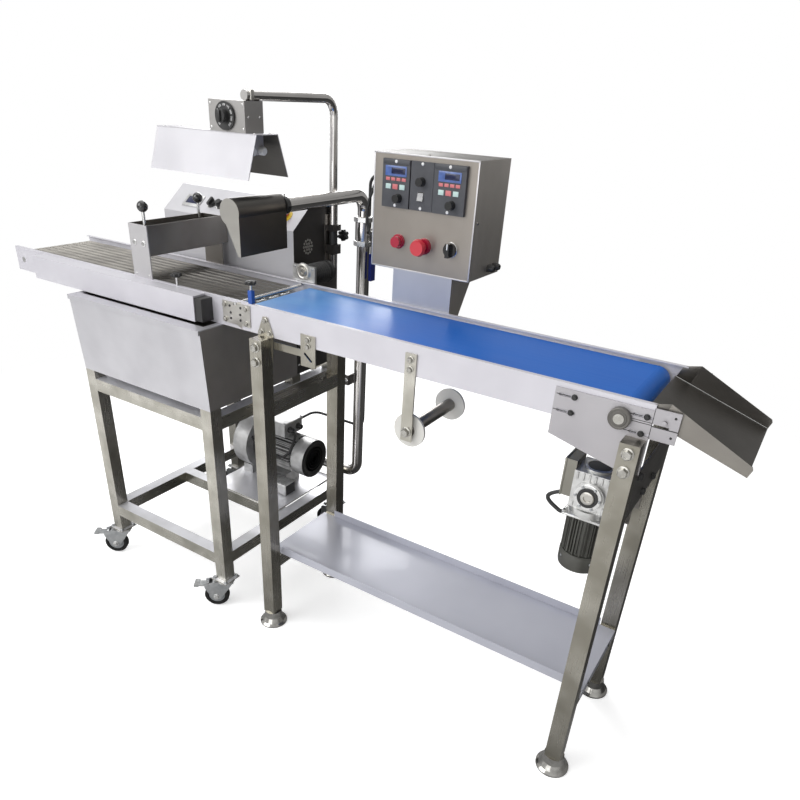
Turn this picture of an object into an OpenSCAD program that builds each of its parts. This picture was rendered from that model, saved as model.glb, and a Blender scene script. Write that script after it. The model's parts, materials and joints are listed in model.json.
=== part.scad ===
// Chocolate enrober: a tank cart with a wire belt, a curtain trough and an air nozzle,
// joined to a blue belt take-off conveyor. Lengths in mm, +Z up, product travels along +X.
// Machine datum: X = 0 at the left conveyor leg, Y = 0 on the belt centre line, Z = 0 on the floor.

/* [Frame] */
// Side of the square frame tube
tube = 38; // [34:1:42]
// Wall of the frame tube
wall = 1.5; // [1:0.1:2.5]
// Height of the take-off belt
belt_top = 944; // [930:1:960]

/* [Take-off conveyor] */
// Length over the conveyor legs
conv_len = 939; // [850:1:1100]
// Width of the blue belt
belt_w = 238; // [226:1:244]
// Radius of the belt rollers
roller_r = 26.6; // [24:0.1:27]
// Height of the storage shelf
shelf_z = 239; // [200:1:300]
// Slope of the discharge chute in degrees
chute_tilt = 18; // [14:1:24]
// Length of the discharge chute
chute_len = 206; // [180:1:230]

/* [Cart] */
// Length of the tank cart
cart_len = 515; // [500:1:540]
// Depth of the tank cart
cart_depth = 589; // [575:1:600]
// Height of the cart frame
cart_top = 663; // [650:1:675]
// Caster wheel diameter
wheel_d = 75; // [68:1:76]

/* [Coating] */
// Overhang of the wire belt left of the cart
mesh_over = 356; // [300:1:400]
// Wire thickness of the belt
wire = 1.6; // [1.4:0.1:2]
// Outside width of the curtain trough
trough_w = 70; // [64:1:76]
// Length of the air nozzle
nozzle_len = 170; // [150:1:190]
// Outside diameter of the air pipe
pipe_d = 36; // [32:1:37]
// Length of the heater hood
hood_len = 333; // [300:1:350]

/* [Control box] */
// Width of the control box
box_w = 276; // [266:1:300]
// Height of the control box
box_h = 258; // [250:1:280]
// Depth of the control box
box_d = 160; // [140:1:180]

/* [Hidden] */
$fn = 32;
fit = 0.1;
gap = 0.4;
seam = 0.1;
sheet = 2;
plate = 3;

// Take-off conveyor places
belt_t = 2;
rail_y = belt_w / 2 + 12;
leg_y = rail_y + plate;
leg_out = leg_y + tube;
rail_top = belt_top + 9;
rail_low = belt_top - 60;
loop_r = roller_r + belt_t + gap;
axis_z = belt_top - loop_r;
drive_x = conv_len - 55;
tail_x = -41;
joint_x = -60;
rail_end = conv_len + 2;
leg_z = rail_low;
foot_h = 41;

// Cart places
cart_x1 = -129;
cart_x0 = cart_x1 - cart_len;
cart_y0 = -198;
cart_y1 = cart_y0 + cart_depth;
cart_low = wheel_d + 29;
beam_z = cart_top - 63;
low_z = 158;
rim_z = rail_low;
tank_y1 = rail_y + 26;
caster_trail = 30;
caster_at = [
    [cart_x0 + tube / 2, cart_y0 + tube / 2, 215],
    [cart_x1 - tube / 2, cart_y0 + tube / 2, 215],
    [cart_x0 + tube / 2, cart_y1 - tube / 2, 200],
    [cart_x1 - tube / 2, cart_y1 - tube / 2, 190]];

// Coating places
mesh_x0 = cart_x0 - mesh_over;
mesh_top = belt_top - 2;
mesh_r = 25;
mesh_z = mesh_top - mesh_r;
mesh_half = belt_w / 2 - 7;
mesh_drive_x = -111;
mesh_tail_x = mesh_x0 + 34;
wipe_x = -78;
wipe_z = belt_top + 2;
trough_x1 = -378;
trough_x0 = trough_x1 - trough_w;
trough_z0 = belt_top + 68;
trough_z1 = trough_z0 + 76;
gate_z = trough_z0 + 30;
gate_half = 17;
gate_mid = (trough_x0 + trough_x1) / 2;
pipe_x = -90;
pipe_y = cart_y1 + 37;
pipe_z = belt_top + 214;
pipe_low = 224;
bend_r = 45;
valve_z = belt_top + 106;
nozzle_r = 31;
nozzle_y = 62;
nozzle_x = pipe_x - 13;
nozzle_z = pipe_z - 8;
nozzle_low = nozzle_z - 98;

// Cabinet and heater places
cab_x1 = cart_x1 - 5;
cab_x0 = cart_x0;
cab_y0 = tank_y1 + 1;
cab_y1 = cab_y0 + 200;
cab_z1 = belt_top + 196;
cab_z2 = cab_z1 - 66;
cab_back = 84;
panel_a = atan2(cab_z1 - cab_z2, cab_back);
pole_d = 22;
pole_x = cab_x1 + 13;
pole_y = cab_y1 - 38;
pole_top = belt_top + 447;
clamp_z = belt_top + 82;
hood_x1 = -72;
hood_x0 = hood_x1 - hood_len;
hood_z0 = belt_top + 275;
hood_z1 = hood_z0 + 95;
dial_x = -168;
dial_z = hood_z1 + 33;

// Blower places
blow_y = 290;
blow_z = 310;
blow_x = -400;

// Drive and spool places
gear_x = conv_len - 93;
gear_y = -32;
gear_z = 702;
chain_r = 20;
chain_y = belt_w / 2 + 4;
spool_x = 432;
spool_z = belt_top - 194;

// Chute and control box places
chute_x = conv_len + 23;
chute_z = belt_top - 19;
chute_out = chute_len - 42;
post_x0 = 210;
post_x1 = 375;
ctl_x0 = 142;
ctl_y0 = rail_y + sheet;
ctl_z0 = belt_top + 90;

// Places on the control panel, from its lower left corner
knob_at = [[76, box_h - 95], [136, box_h - 54], [218, box_h - 95]];
rocker_at = [135, box_h - 86];
lamp_at = [78, 66];
stop_at = [150, 64];
select_at = [222, 66];

// Middle of the whole machine, brought to the origin
chute_end = chute_x + chute_out * cos(chute_tilt) + 10 * sin(chute_tilt);
mid_x = (mesh_x0 + chute_end) / 2;
mid_y = (pipe_y + pipe_d / 2 + 17 + cart_y0 - 50) / 2;

// Moves from the machine datum to the bottom centre
module place() {
    translate([-mid_x, -mid_y, 0]) children();
}

// Block between two corners
module block(a, b) {
    translate(a) cube(b - a);
}

// Square tube between two corners, hollow along axis 0, 1 or 2
module tubing(a, b, axis) {
    in = [for (i = [0:2]) i == axis ? -1 : wall];
    difference() {
        block(a, b);
        block(a + in, b - in);
    }
}

// Standing square tube with a closed top
module post(a, b) {
    difference() {
        block(a, b);
        block(a + [wall, wall, -1], b - [wall, wall, wall]);
    }
}

// Profile drawn in X and Z, run along Y
module along_y(y0, y1) {
    translate([0, y1, 0]) rotate([90, 0, 0]) linear_extrude(y1 - y0) children();
}

// Profile drawn in Y and Z, run along X
module along_x(x0, x1) {
    translate([x0, 0, 0]) rotate([90, 0, 90]) linear_extrude(x1 - x0) children();
}

// Round bar along Y
module rod_y(x, z, d, y0, y1) {
    translate([x, y0, z]) rotate([-90, 0, 0]) cylinder(d = d, h = y1 - y0);
}

// Round bar along X
module rod_x(y, z, d, x0, x1) {
    translate([x0, y, z]) rotate([0, 90, 0]) cylinder(d = d, h = x1 - x0);
}

// Round bar along Z
module rod_z(x, y, d, z0, z1) {
    translate([x, y, z0]) cylinder(d = d, h = z1 - z0);
}

// Slot with round ends, drawn flat along its first axis
module slot(len, w) {
    square([len, w], center = true);
    translate([-len / 2, 0]) circle(d = w, $fn = 24);
    translate([len / 2, 0]) circle(d = w, $fn = 24);
}

// Closed loop outline of radius r round two equal centres
module loop(x0, x1, z, r) {
    translate([x0, z]) circle(r = r, $fn = 48);
    translate([x1, z]) circle(r = r, $fn = 48);
    translate([x0, z - r]) square([x1 - x0, 2 * r]);
}

// Quarter bend of round bar, from the first axis round to the second
module elbow(r, d) {
    rotate_extrude(angle = 90) translate([r, 0]) circle(d = d, $fn = 24);
}

// Cart
module cart_frame() {
    t = tube + seam;
    color("silver") place() {
        for (c = caster_at) {
            cart_leg(c[0], c[1]);
            caster_plate(c[0], c[1]);
        }
        for (z = [beam_z, low_z]) {
            for (y = [cart_y0, cart_y1 - tube])
                tubing([cart_x0 + t, y, z], [cart_x1 - t, y + tube, z + tube], 0);
            for (x = [cart_x0, cart_x1 - tube])
                tubing([x, cart_y0 + t, z], [x + tube, cart_y1 - t, z + tube], 1);
        }
        tubing([cart_x0 + t, 92, low_z], [cart_x1 - t, 92 + tube, low_z + tube], 0);
        for (x = [cart_x0, cart_x1 - tube])
            for (y = [tank_y1 - 20, cab_y1 - 40])
                block([x + 4, y, beam_z + t], [x + tube - 4, y + 38, cart_top]);
        block([blow_x - 70, 96, low_z + t], [cart_x1 - tube - 4, cart_y1 - 4, low_z + tube + 4]);
    }
}

module cart_leg(x, y) {
    h = tube / 2;
    tubing([x - h, y - h, cart_low], [x + h, y + h, cart_top], 2);
}

module caster_plate(x, y) {
    block([x - 30, y - 30, cart_low - 4], [x + 30, y + 30, cart_low - seam]);
    rod_z(x, y, 12, cart_low - 16, cart_low - 4);
}

module at_caster(i) {
    c = caster_at[i];
    translate([c[0], c[1], 0]) rotate([0, 0, c[2]]) children();
}

module caster_fork(i, brake) {
    top = cart_low - 4 - gap;
    r = wheel_d / 2;
    pin_x = caster_trail + 26;
    color("gainsboro") place() at_caster(i) {
        difference() {
            union() {
                translate([0, 0, top - 10]) cylinder(d = 52, h = 10);
                block([-24, -16, top - 13], [40, 16, top - 9]);
                for (y = [-13.2, 16.2])
                    along_y(y - 3, y) fork_cheek(top, brake ? 64 : 46);
                rod_y(caster_trail, r, 8, -18, 18);
                if (brake) rod_y(pin_x, r + 38.5, 5, -16.2, 16.2);
            }
            translate([0, 0, top - 12]) cylinder(d = 12 + fit, h = 13);
        }
    }
}

module fork_cheek(top, out) {
    r = wheel_d / 2;
    polygon([[-24, top - 9], [34, top - 9], [out, r + 46], [out, r + 32], [42, r - 10], [18, r - 10]]);
}

module caster_wheel(i) {
    r = wheel_d / 2;
    color("dimgray") place() at_caster(i) {
        translate([caster_trail, -12, r]) rotate([-90, 0, 0]) rotate_extrude($fn = 48)
            polygon([[4 + fit / 2, 0.5], [11, 0.5], [11, 4], [r - 13, 4], [r - 10, 1], [r - 3, 1],
                [r, 5], [r, 19], [r - 3, 23], [r - 10, 23], [r - 13, 20], [11, 20], [11, 23.5],
                [4 + fit / 2, 23.5]]);
    }
}

module brake_pedal(i) {
    color("black") place() at_caster(i) translate([caster_trail + 26, 0, wheel_d / 2 + 38.5]) {
        difference() {
            union() {
                rod_y(0, 0, 10, -12.6, 12.6);
                block([0, -12.6, -2], [34, 12.6, 2]);
                block([26, -17, -2], [40, 17, 4]);
            }
            rod_y(0, 0, 5 + fit, -14, 14);
        }
    }
}

module caster_fork_fl() caster_fork(0, true);
module caster_fork_fr() caster_fork(1, true);
module caster_fork_rl() caster_fork(2, false);
module caster_fork_rr() caster_fork(3, false);
module caster_wheel_fl() caster_wheel(0);
module caster_wheel_fr() caster_wheel(1);
module caster_wheel_rl() caster_wheel(2);
module caster_wheel_rr() caster_wheel(3);
module brake_pedal_fl() brake_pedal(0);
module brake_pedal_fr() brake_pedal(1);

// Tank
module tank_casing() {
    top = rim_z - plate;
    front = cart_y0 - 12;
    color("whitesmoke") place() difference() {
        along_x(cart_x0, cart_x1)
            polygon([[cart_y0, cart_top], [tank_y1, cart_top], [tank_y1, top], [front, top]]);
        along_x(cart_x0 + sheet, cart_x1 - sheet)
            polygon([[cart_y0 + sheet, cart_top + sheet], [tank_y1 - sheet, cart_top + sheet],
                [tank_y1 - sheet, top + 1], [front + sheet, top + 1]]);
    }
}

module tank_pan() {
    front = cart_y0 - 12;
    low = cart_top + 47;
    x0 = cart_x0 + 16;
    x1 = cart_x1 - 16;
    y0 = cart_y0 + 16;
    y1 = tank_y1 - 8;
    color("silver") place() difference() {
        union() {
            block([cart_x0, front, rim_z - plate], [cart_x1, tank_y1, rim_z]);
            block([x0, y0, low], [x1, y1, rim_z]);
            block([x0 + 60, y0 + 50, low - 12], [x1 - 60, y1 - 50, low + 1]);
            block([cart_x0, front - 5, rim_z - 12], [cart_x1, front, rim_z]);
        }
        block([x0 + sheet, y0 + sheet, low + sheet], [x1 - sheet, y1 - sheet, rim_z + 1]);
    }
}

module chocolate_pump() {
    x = gate_mid;
    y = tank_y1 - 55;
    z = cart_top + 47 + sheet;
    riser_y = rail_y + plate + 5.5;
    color("silver") place() {
        difference() {
            rod_z(x, y, 76, z, z + 36);
            rod_z(x, y, 66, z + 4, z + 30);
            rod_z(x, y, 24, z + 29, z + 37);
        }
        difference() {
            union() {
                rod_z(x, riser_y, 13, z + 40, trough_z0 + 40);
                block([x - 9, y + 30, z + 36], [x + 9, riser_y + 6.5, z + 48]);
                rod_y(x, trough_z0 + 32, 11, rail_y, riser_y);
            }
            rod_z(x, riser_y, 9, z + 42, trough_z0 + 38);
            rod_y(x, trough_z0 + 32, 7, rail_y - 1, riser_y);
        }
    }
}

// Cabinet with a sloped panel
module cabinet() {
    color("whitesmoke") place() {
        cabinet_case();
        pole_fork(clamp_z - 30, clamp_z - 4);
        pole_fork(clamp_z + 34, clamp_z + 50);
    }
}

// Two arms and a closing strip round the pole
module pole_fork(z0, z1) {
    half = pole_d / 2 + 1.2;
    x0 = cab_x1 + seam;
    x1 = pole_x + half;
    block([x0, pole_y - 17, z0], [x1, pole_y - half, z1]);
    block([x0, pole_y + half, z0], [x1, pole_y + 17, z1]);
    block([x1 + seam, pole_y - 17, z0], [x1 + 3, pole_y + 17, z1]);
}

module cabinet_case() {
    difference() {
        along_x(cab_x0, cab_x1) cabinet_side(0);
        along_x(cab_x0 + sheet, cab_x1 - sheet) cabinet_side(sheet);
        for (r = [0:2])
            for (a = [0:360 / (6 * max(r, 0.17)):359])
                rod_x(cab_y0 + 62 + 9 * r * cos(a), cab_z2 - 48 + 9 * r * sin(a), 5, cab_x1 - 4, cab_x1 + 1);
        for (p = panel_spots)
            at_panel(p) translate([0, 0, -6]) cylinder(d = p[2] + fit, h = 8);
    }
}

module cabinet_side(t) {
    polygon([[cab_y0 + t, cart_top + t], [cab_y1 - t, cart_top + t], [cab_y1 - t, cab_z1 - t],
        [cab_y0 + cab_back + t / 2, cab_z1 - t], [cab_y0 + t, cab_z2 - t / 2]]);
}

// Panel places: distance from the left end, along the slope, stem diameter
panel_spots = [[170, 46, 10], [204, 46, 10], [450, 46, 16]];

module at_panel(p) {
    translate([cab_x0 + p[0], cab_y0, cab_z2]) rotate([panel_a, 0, 0]) translate([0, p[1], 0]) children();
}

module cabinet_selector() {
    color("black") place() at_panel(panel_spots[0]) {
        translate([0, 0, -8]) cylinder(d = 10, h = 9);
        translate([0, 0, gap]) cylinder(d = 26, h = 8);
        translate([-4, -13, 6]) cube([8, 26, 10]);
    }
}

module cabinet_dial() {
    color("black") place() at_panel(panel_spots[1]) {
        translate([0, 0, -8]) cylinder(d = 10, h = 9);
        translate([0, 0, gap]) cylinder(d = 24, h = 9);
        translate([0, 0, 9]) cylinder(d1 = 20, d2 = 17, h = 8);
    }
}

module cabinet_stop() {
    color("red") place() at_panel(panel_spots[2]) {
        translate([0, 0, -14]) cylinder(d = 16, h = 22);
        translate([0, 0, 7]) cylinder(d = 32, h = 9);
    }
}

// Wire belt conveyor
module rail(x0, x1, side) {
    a = side * rail_y;
    b = side * (rail_y - sheet);
    c = side * (rail_y - 10);
    block([x0, min(a, b), rail_low], [x1, max(a, b), rail_top]);
    block([x0, min(a, c), rail_top - sheet], [x1, max(a, c), rail_top]);
}

module mesh_rails() {
    s0 = sheet + seam;
    color("whitesmoke") place() {
        for (s = [-1, 1])
            difference() {
                rail(mesh_x0, joint_x - seam, s);
                for (x = [mesh_drive_x, mesh_tail_x])
                    rod_y(x, mesh_z, 16 + fit, s * rail_y - 5, s * rail_y + 5);
                rod_y(wipe_x, wipe_z, 8 + fit, s * rail_y - 5, s * rail_y + 5);
            }
        joint_plate(-leg_y, -rail_y - seam);
        joint_plate(rail_y + seam, leg_y);
        side_cover();
        for (x = [cart_x0 + 60, cart_x1 - 60])
            block([x - 12, s0 - rail_y, mesh_z - 6], [x + 12, rail_y - s0, mesh_z + 6]);
    }
}

// Bolted plate over the rail joint, with four holes
module joint_plate(y0, y1) {
    along_y(y0, y1) difference() {
        translate([-121, belt_top - 50]) square([91, 54]);
        for (p = [[-112, -6], [-42, -6], [-112, -42], [-42, -42]])
            translate([p[0], belt_top + p[1]]) circle(d = 6, $fn = 16);
        translate([wipe_x, wipe_z]) circle(d = 12);
    }
}

module side_cover() {
    x0 = cart_x0 - 205;
    x1 = cart_x1 - 54;
    y = -rail_y - seam;
    difference() {
        block([x0, y - 41, rail_low + 4], [x1, y, rail_top - 1]);
        block([x0 + sheet, y - 39, rail_low + 6], [x1 - sheet, y + 1, rail_top - 3]);
    }
    block([x1 + seam, y - 38, rail_low + 6], [x1 + 24, y, rail_top - 6]);
}

module mesh_belt() {
    n = 5;
    len = mesh_drive_x - mesh_tail_x - 1;
    cell = (len - wire) / 30;
    lane = (2 * mesh_half - wire) / n;
    color("gray") place() {
        for (z = [mesh_z + mesh_r - wire, mesh_z - mesh_r])
            translate([mesh_tail_x + 0.5, -mesh_half, z]) linear_extrude(wire) difference() {
                square([len, 2 * mesh_half]);
                for (i = [0:29])
                    for (j = [0:n - 1])
                        translate([wire + cell * i, wire + lane * j]) square([cell - wire, lane - wire]);
            }
        belt_turn(mesh_tail_x, -1);
        belt_turn(mesh_drive_x, 1);
    }
}

module belt_turn(x, side) {
    along_y(-mesh_half, mesh_half) intersection() {
        difference() {
            translate([x, mesh_z]) circle(r = mesh_r, $fn = 48);
            translate([x, mesh_z]) circle(r = mesh_r - wire, $fn = 48);
        }
        translate([side > 0 ? x : x - 40, mesh_z - 40]) square([40, 80]);
    }
}

module mesh_shaft(x) {
    rod_y(x, mesh_z, 16, -rail_y, rail_y);
    for (i = [-2:2])
        rod_y(x, mesh_z, 2 * (mesh_r - wire - gap), 46 * i - 5, 46 * i + 5);
}

module mesh_drive_shaft() {
    color("silver") place() mesh_shaft(mesh_drive_x);
}

module mesh_tail_shaft() {
    color("silver") place() mesh_shaft(mesh_tail_x);
}

module detailer_motor() {
    y = leg_y;
    color("dimgray") place() {
        difference() {
            union() {
                block([-118, y, rail_low + 10], [-42, y + 8, belt_top + 52]);
                rod_y(-80, belt_top + 36, 46, y - 2.9, y + 1);
            }
            rod_y(wipe_x, wipe_z, 9, y - 4, y + 5);
            rod_y(-80, belt_top + 36, 18, y - 4, y - 1);
        }
        rod_y(-80, belt_top + 22, 56, y + 8, y + 92);
        rod_y(-80, belt_top + 22, 60, y + 92, y + 104);
    }
}

module detailer_rod() {
    color("silver") place() rod_y(wipe_x, wipe_z, 8, -leg_y, leg_y + 4);
}

// Curtain trough on the rails, with two slots in its floor
module trough() {
    y = rail_y;
    in = plate + seam - y;
    color("slategray") place() {
        for (s = [-1, 1])
            difference() {
                block([trough_x0, s > 0 ? y - plate : -y, rail_top],
                    [trough_x1, s > 0 ? y : plate - y, trough_z1]);
                for (e = [-1, 1])
                    rod_y(gate_mid + e * gate_half, gate_z, 8 + fit, -y - 1, y + 1);
                rod_y(gate_mid, trough_z0 + 32, 7, y - 5, y + 1);
            }
        block([trough_x0, in, trough_z0 + sheet + seam], [trough_x0 + sheet, -in, trough_z1]);
        block([trough_x1 - sheet, in, trough_z0 + sheet + seam], [trough_x1, -in, trough_z1]);
        block([trough_x1 - sheet, y + seam, trough_z0 + sheet], [trough_x1, y + 22, trough_z1]);
        difference() {
            block([trough_x0, in, trough_z0], [trough_x1, -in, trough_z0 + sheet]);
            for (e = [-1, 1])
                block([gate_mid + e * gate_half - 5, -100, trough_z0 - 1],
                    [gate_mid + e * gate_half + 5, 100, trough_z0 + 3]);
        }
    }
}

module gate(x, y) {
    rod_y(x, gate_z, 8, -rail_y, rail_y);
    block([x - 1.5, 8 - rail_y, trough_z0 + 5], [x + 1.5, rail_y - 8, gate_z]);
    rod_z(x, y, 8, gate_z, trough_z1 + 38);
    translate([x, y, trough_z1 + 44]) sphere(d = 28);
}

module gate_front() {
    color("black") place() gate(gate_mid + gate_half, 11 - rail_y);
}

module gate_rear() {
    color("black") place() gate(gate_mid - gate_half, rail_y - 32);
}

// Air supply
module nozzle_body(r, in, low, mouth) {
    x1 = nozzle_x + 0.96 * r;
    y0 = nozzle_y - nozzle_len + in;
    rod_y(nozzle_x, nozzle_z, 2 * r, y0, nozzle_y - in);
    along_y(y0, nozzle_y - in)
        polygon([[nozzle_x - 0.9 * r, nozzle_z], [x1, nozzle_z], [x1, low], [x1 - mouth, low]]);
}

module air_nozzle() {
    color("slategray") place() difference() {
        union() nozzle_body(nozzle_r, 0, nozzle_low, 8);
        nozzle_body(nozzle_r - sheet, sheet, nozzle_low - 1, 3);
        rod_y(pipe_x, pipe_z - 6, 24, nozzle_y - 4, nozzle_y + 1);
    }
}

module air_pipe() {
    x = pipe_x;
    y0 = nozzle_y;
    z = pipe_z - 6;
    y2 = pipe_y - bend_r;
    z1 = z - bend_r;
    z2 = pipe_low + bend_r;
    x2 = blow_x + 2 * bend_r - 30;
    color("silver") place() {
        rod_y(x, z, pipe_d + 8, y0, y0 + 14);
        rod_y(x, z, pipe_d, y0 + 14, y2 - seam);
        translate([x, y2, z1]) rotate([90, 0, 90]) elbow(bend_r, pipe_d);
        rod_z(x, pipe_y, pipe_d, valve_z + 40, z1 - seam);
        rod_z(x, pipe_y, pipe_d + 12, valve_z - 40, valve_z + 40 - seam);
        rod_x(pipe_y, valve_z, 24, x, x + 31);
        rod_x(pipe_y, valve_z, 10, x, x + 43);
        rod_z(x, pipe_y, pipe_d, z2 + seam, valve_z - 40 - seam);
        translate([x - bend_r, pipe_y, z2]) rotate([-90, 0, 0]) elbow(bend_r, pipe_d);
        rod_x(pipe_y, pipe_low, pipe_d, x2 + seam, x - bend_r - seam);
        translate([x2, pipe_y - bend_r, pipe_low]) rotate([0, 0, 90]) elbow(bend_r, pipe_d);
        rod_y(x2 - bend_r, pipe_low, pipe_d, 366, pipe_y - bend_r - seam);
        pipe_bracket(x);
    }
}

// Slotted angle from the cart leg to the standing pipe
module pipe_bracket(x) {
    y = cart_y1 - 12;
    difference() {
        block([cart_x1, y, 570], [x - 10, y + 4, 604]);
        along_y(y - 1, y + 5) translate([x - 22, 587]) slot(10, 8);
    }
    block([x - 14, y + 4 + seam, 570], [x - 10, pipe_y - pipe_d / 2 + 1 - seam, 604]);
}

module valve_lever() {
    x = pipe_x + 31 + gap;
    color("navy") place() difference() {
        union() {
            rod_x(pipe_y, valve_z, 20, x, x + 8);
            block([x + 2, pipe_y - 9, valve_z - 135], [x + 6, pipe_y + 9, valve_z]);
            block([x - 1, pipe_y - 11, valve_z - 140], [x + 9, pipe_y + 11, valve_z - 60]);
        }
        rod_x(pipe_y, valve_z, 10 + fit, x - 2, x + 12);
    }
}

module ring_blower() {
    color("silver") place() {
        blower_motor(blow_x + seam);
        difference() {
            rod_x(blow_y, blow_z, 190, blow_x - 62, blow_x);
            rod_x(blow_y, blow_z, 160, blow_x - 54, blow_x - 8);
            rod_x(blow_y, blow_z, 20 + fit, blow_x - 9, blow_x + 1);
        }
        block([blow_x + seam, 325, low_z + tube + 4], [blow_x + 40, 366, low_z + tube + 42]);
        block([blow_x - 50, blow_y - 60, low_z + tube + 4], [blow_x - 10, blow_y - 30, blow_z - 78]);
    }
}

module blower_impeller() {
    color("gray") place() {
        difference() {
            rod_x(blow_y, blow_z, 150, blow_x - 46, blow_x - 20);
            for (a = [0:30:330])
                translate([blow_x - 50, blow_y, blow_z]) rotate([a, 0, 0]) translate([0, 0, 46])
                    cube([20, 4, 26]);
        }
        rod_x(blow_y, blow_z, 20, blow_x - 22, blow_x + 24);
    }
}

// Motor body, fins, fan cover, terminal box and foot, each a piece of its own
module blower_motor(x) {
    difference() {
        rod_x(blow_y, blow_z, 120, x, x + 176);
        rod_x(blow_y, blow_z, 26, x - 1, x + 30);
    }
    for (a = [15:30:345])
        translate([x + 24, blow_y, blow_z]) rotate([a, 0, 0]) translate([0, -1.5, 60 + seam])
            cube([146, 3, 7]);
    rod_x(blow_y, blow_z, 134, x + 176 + seam, x + 226);
    block([x + 56, blow_y - 46, blow_z + 70], [x + 136, blow_y + 46, blow_z + 112]);
    block([x + 66, blow_y - 14, blow_z + 60 + seam], [x + 126, blow_y + 14, blow_z + 70 - seam]);
    block([x + 60, blow_y - 50, low_z + tube + 4], [x + 140, blow_y + 20, blow_z - 70]);
}

// Heater on its pole
module lamp_collar() {
    x = pole_x;
    color("black") place() difference() {
        rod_z(x, pole_y, pole_d + 3, clamp_z - 4 + gap, clamp_z + 34 - gap);
        rod_z(x, pole_y, pole_d + fit, clamp_z - 10, clamp_z + 40);
        rod_y(x, clamp_z + 15, 8 + fit, pole_y, pole_y + 20);
    }
}

module clamp_knob() {
    color("black") place() translate([pole_x, pole_y, clamp_z + 15]) {
        rod_y(0, 0, 8, 11.4, 44);
        difference() {
            rod_y(0, 0, 32, 44, 56);
            for (a = [0:60:300])
                rod_y(18 * cos(a), 18 * sin(a), 11, 43, 57);
        }
    }
}

module lamp_pole() {
    r = 40;
    y = pole_y - r;
    color("silver") place() {
        rod_z(pole_x, pole_y, pole_d, clamp_z - 70, pole_top - r - seam);
        translate([pole_x, y, pole_top - r]) rotate([90, 0, 90]) elbow(r, pole_d);
        rod_y(pole_x, pole_top, pole_d, -20, y - seam);
    }
}

module heater_hood() {
    color("whitesmoke") place() {
        heater_box();
        block([hood_x0, -37.5, hood_z1 - sheet], [hood_x1, 37.5, hood_z1 - seam]);
        for (s = [-1, 1])
            along_x(hood_x0, hood_x1)
                polygon([[s * 71, hood_z0], [s * 37.5, hood_z1 - sheet - seam],
                    [s * 35.2, hood_z1 - sheet - seam], [s * 68.7, hood_z0]]);
        for (x = [hood_x0 + 22, hood_x1 - 42])
            block([x, -30, hood_z1 - 47], [x + 2, 30, hood_z1 - sheet - seam]);
        for (y = [-18, 18])
            rod_x(y, hood_z1 - 38, 12, hood_x0 + 24 + seam, hood_x1 - 42 - seam);
    }
}

// Thermostat box on top of the hood
module heater_box() {
    z1 = pole_top - pole_d / 2;
    difference() {
        block([dial_x - 54, -34, hood_z1], [dial_x + 60, 28, z1]);
        block([dial_x - 52, -32, hood_z1 + 2], [dial_x + 58, 26, z1 - 2]);
        rod_y(dial_x, dial_z, 8 + fit, -40, -30);
    }
}

module heater_dial() {
    color("black") place() {
        rod_y(dial_x, dial_z, 8, -38, -24);
        rod_y(dial_x, dial_z, 60, -39, -34 - gap);
        rod_y(dial_x, dial_z, 28, -54, -39);
    }
}

// Conveyor frame
module conveyor_legs() {
    in = leg_y - seam;
    color("silver") place() {
        for (x = [0, conv_len - tube])
            for (y = [-leg_out, leg_y]) {
                post([x, y, foot_h + seam], [x + tube, y + tube, leg_z]);
                bell_foot(x + tube / 2, y + tube / 2);
            }
        for (z = [leg_z - 207, shelf_z - tube])
            tubing([0, -in, z], [tube, in, z + tube], 1);
        tubing([conv_len - tube, -in, shelf_z - tube], [conv_len, in, shelf_z], 1);
        leg_bracket(-in, -rail_y);
        leg_bracket(rail_y, in);
        motor_panel(in);
    }
}

// Bell shaped foot pressed on the tube end
module bell_foot(x, y) {
    translate([x, y, 0]) rotate_extrude($fn = 40)
        polygon([[0, 0], [40, 0], [40, 4], [34, 9], [27, 22], [24, foot_h], [0, foot_h]]);
}

// Rounded triangular plate and slotted brace that hold a left leg to its rail
module leg_bracket(y0, y1) {
    along_y(y0, y1) difference() {
        polygon([[0, leg_z - 64], [tube, leg_z - 64], [tube + 6, leg_z + 6], [26, leg_z + 48],
            [12, leg_z + 48], [-6, leg_z + 6]]);
        translate([19, leg_z + 38]) circle(d = 6, $fn = 16);
    }
    along_y(y0, y1) polygon([[tube + 6 + seam, leg_z - 26], [128, leg_z - 26], [128, leg_z - 8],
        [tube + 6 + seam, leg_z - 8]]);
    along_y(y0, y1) difference() {
        translate([128 + seam, leg_z - 48]) square([44, 78]);
        translate([150, leg_z - 24]) rotate(-38) slot(24, 6);
    }
}

// Panel between the right legs with the bracket that carries the gearmotor
module motor_panel(in) {
    x0 = gear_x + 45;
    x1 = conv_len - plate;
    block([x1, -in, gear_z + 11], [conv_len, in, leg_z - 73]);
    for (y = [gear_y - 40, gear_y + 36])
        block([x0 + 4 + seam, y, gear_z - 34], [x1 - seam, y + 4, gear_z + 60]);
    block([x0, gear_y - 40, gear_z - 34], [x0 + 4, gear_y + 40, gear_z + 60]);
}

module shelf() {
    y = leg_y - 8;
    z = shelf_z + sheet;
    color("lavender") place() {
        block([-sheet, -y, shelf_z], [conv_len + sheet, y, z]);
        for (s = [-1, 1])
            block([tube + 1, s > 0 ? y - sheet : -y, z + seam],
                [conv_len - tube - 1, s > 0 ? y : sheet - y, z + 22]);
        for (x = [conv_len, -sheet])
            block([x, -y, shelf_z - 24], [x + sheet, y, shelf_z - seam]);
    }
}

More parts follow.
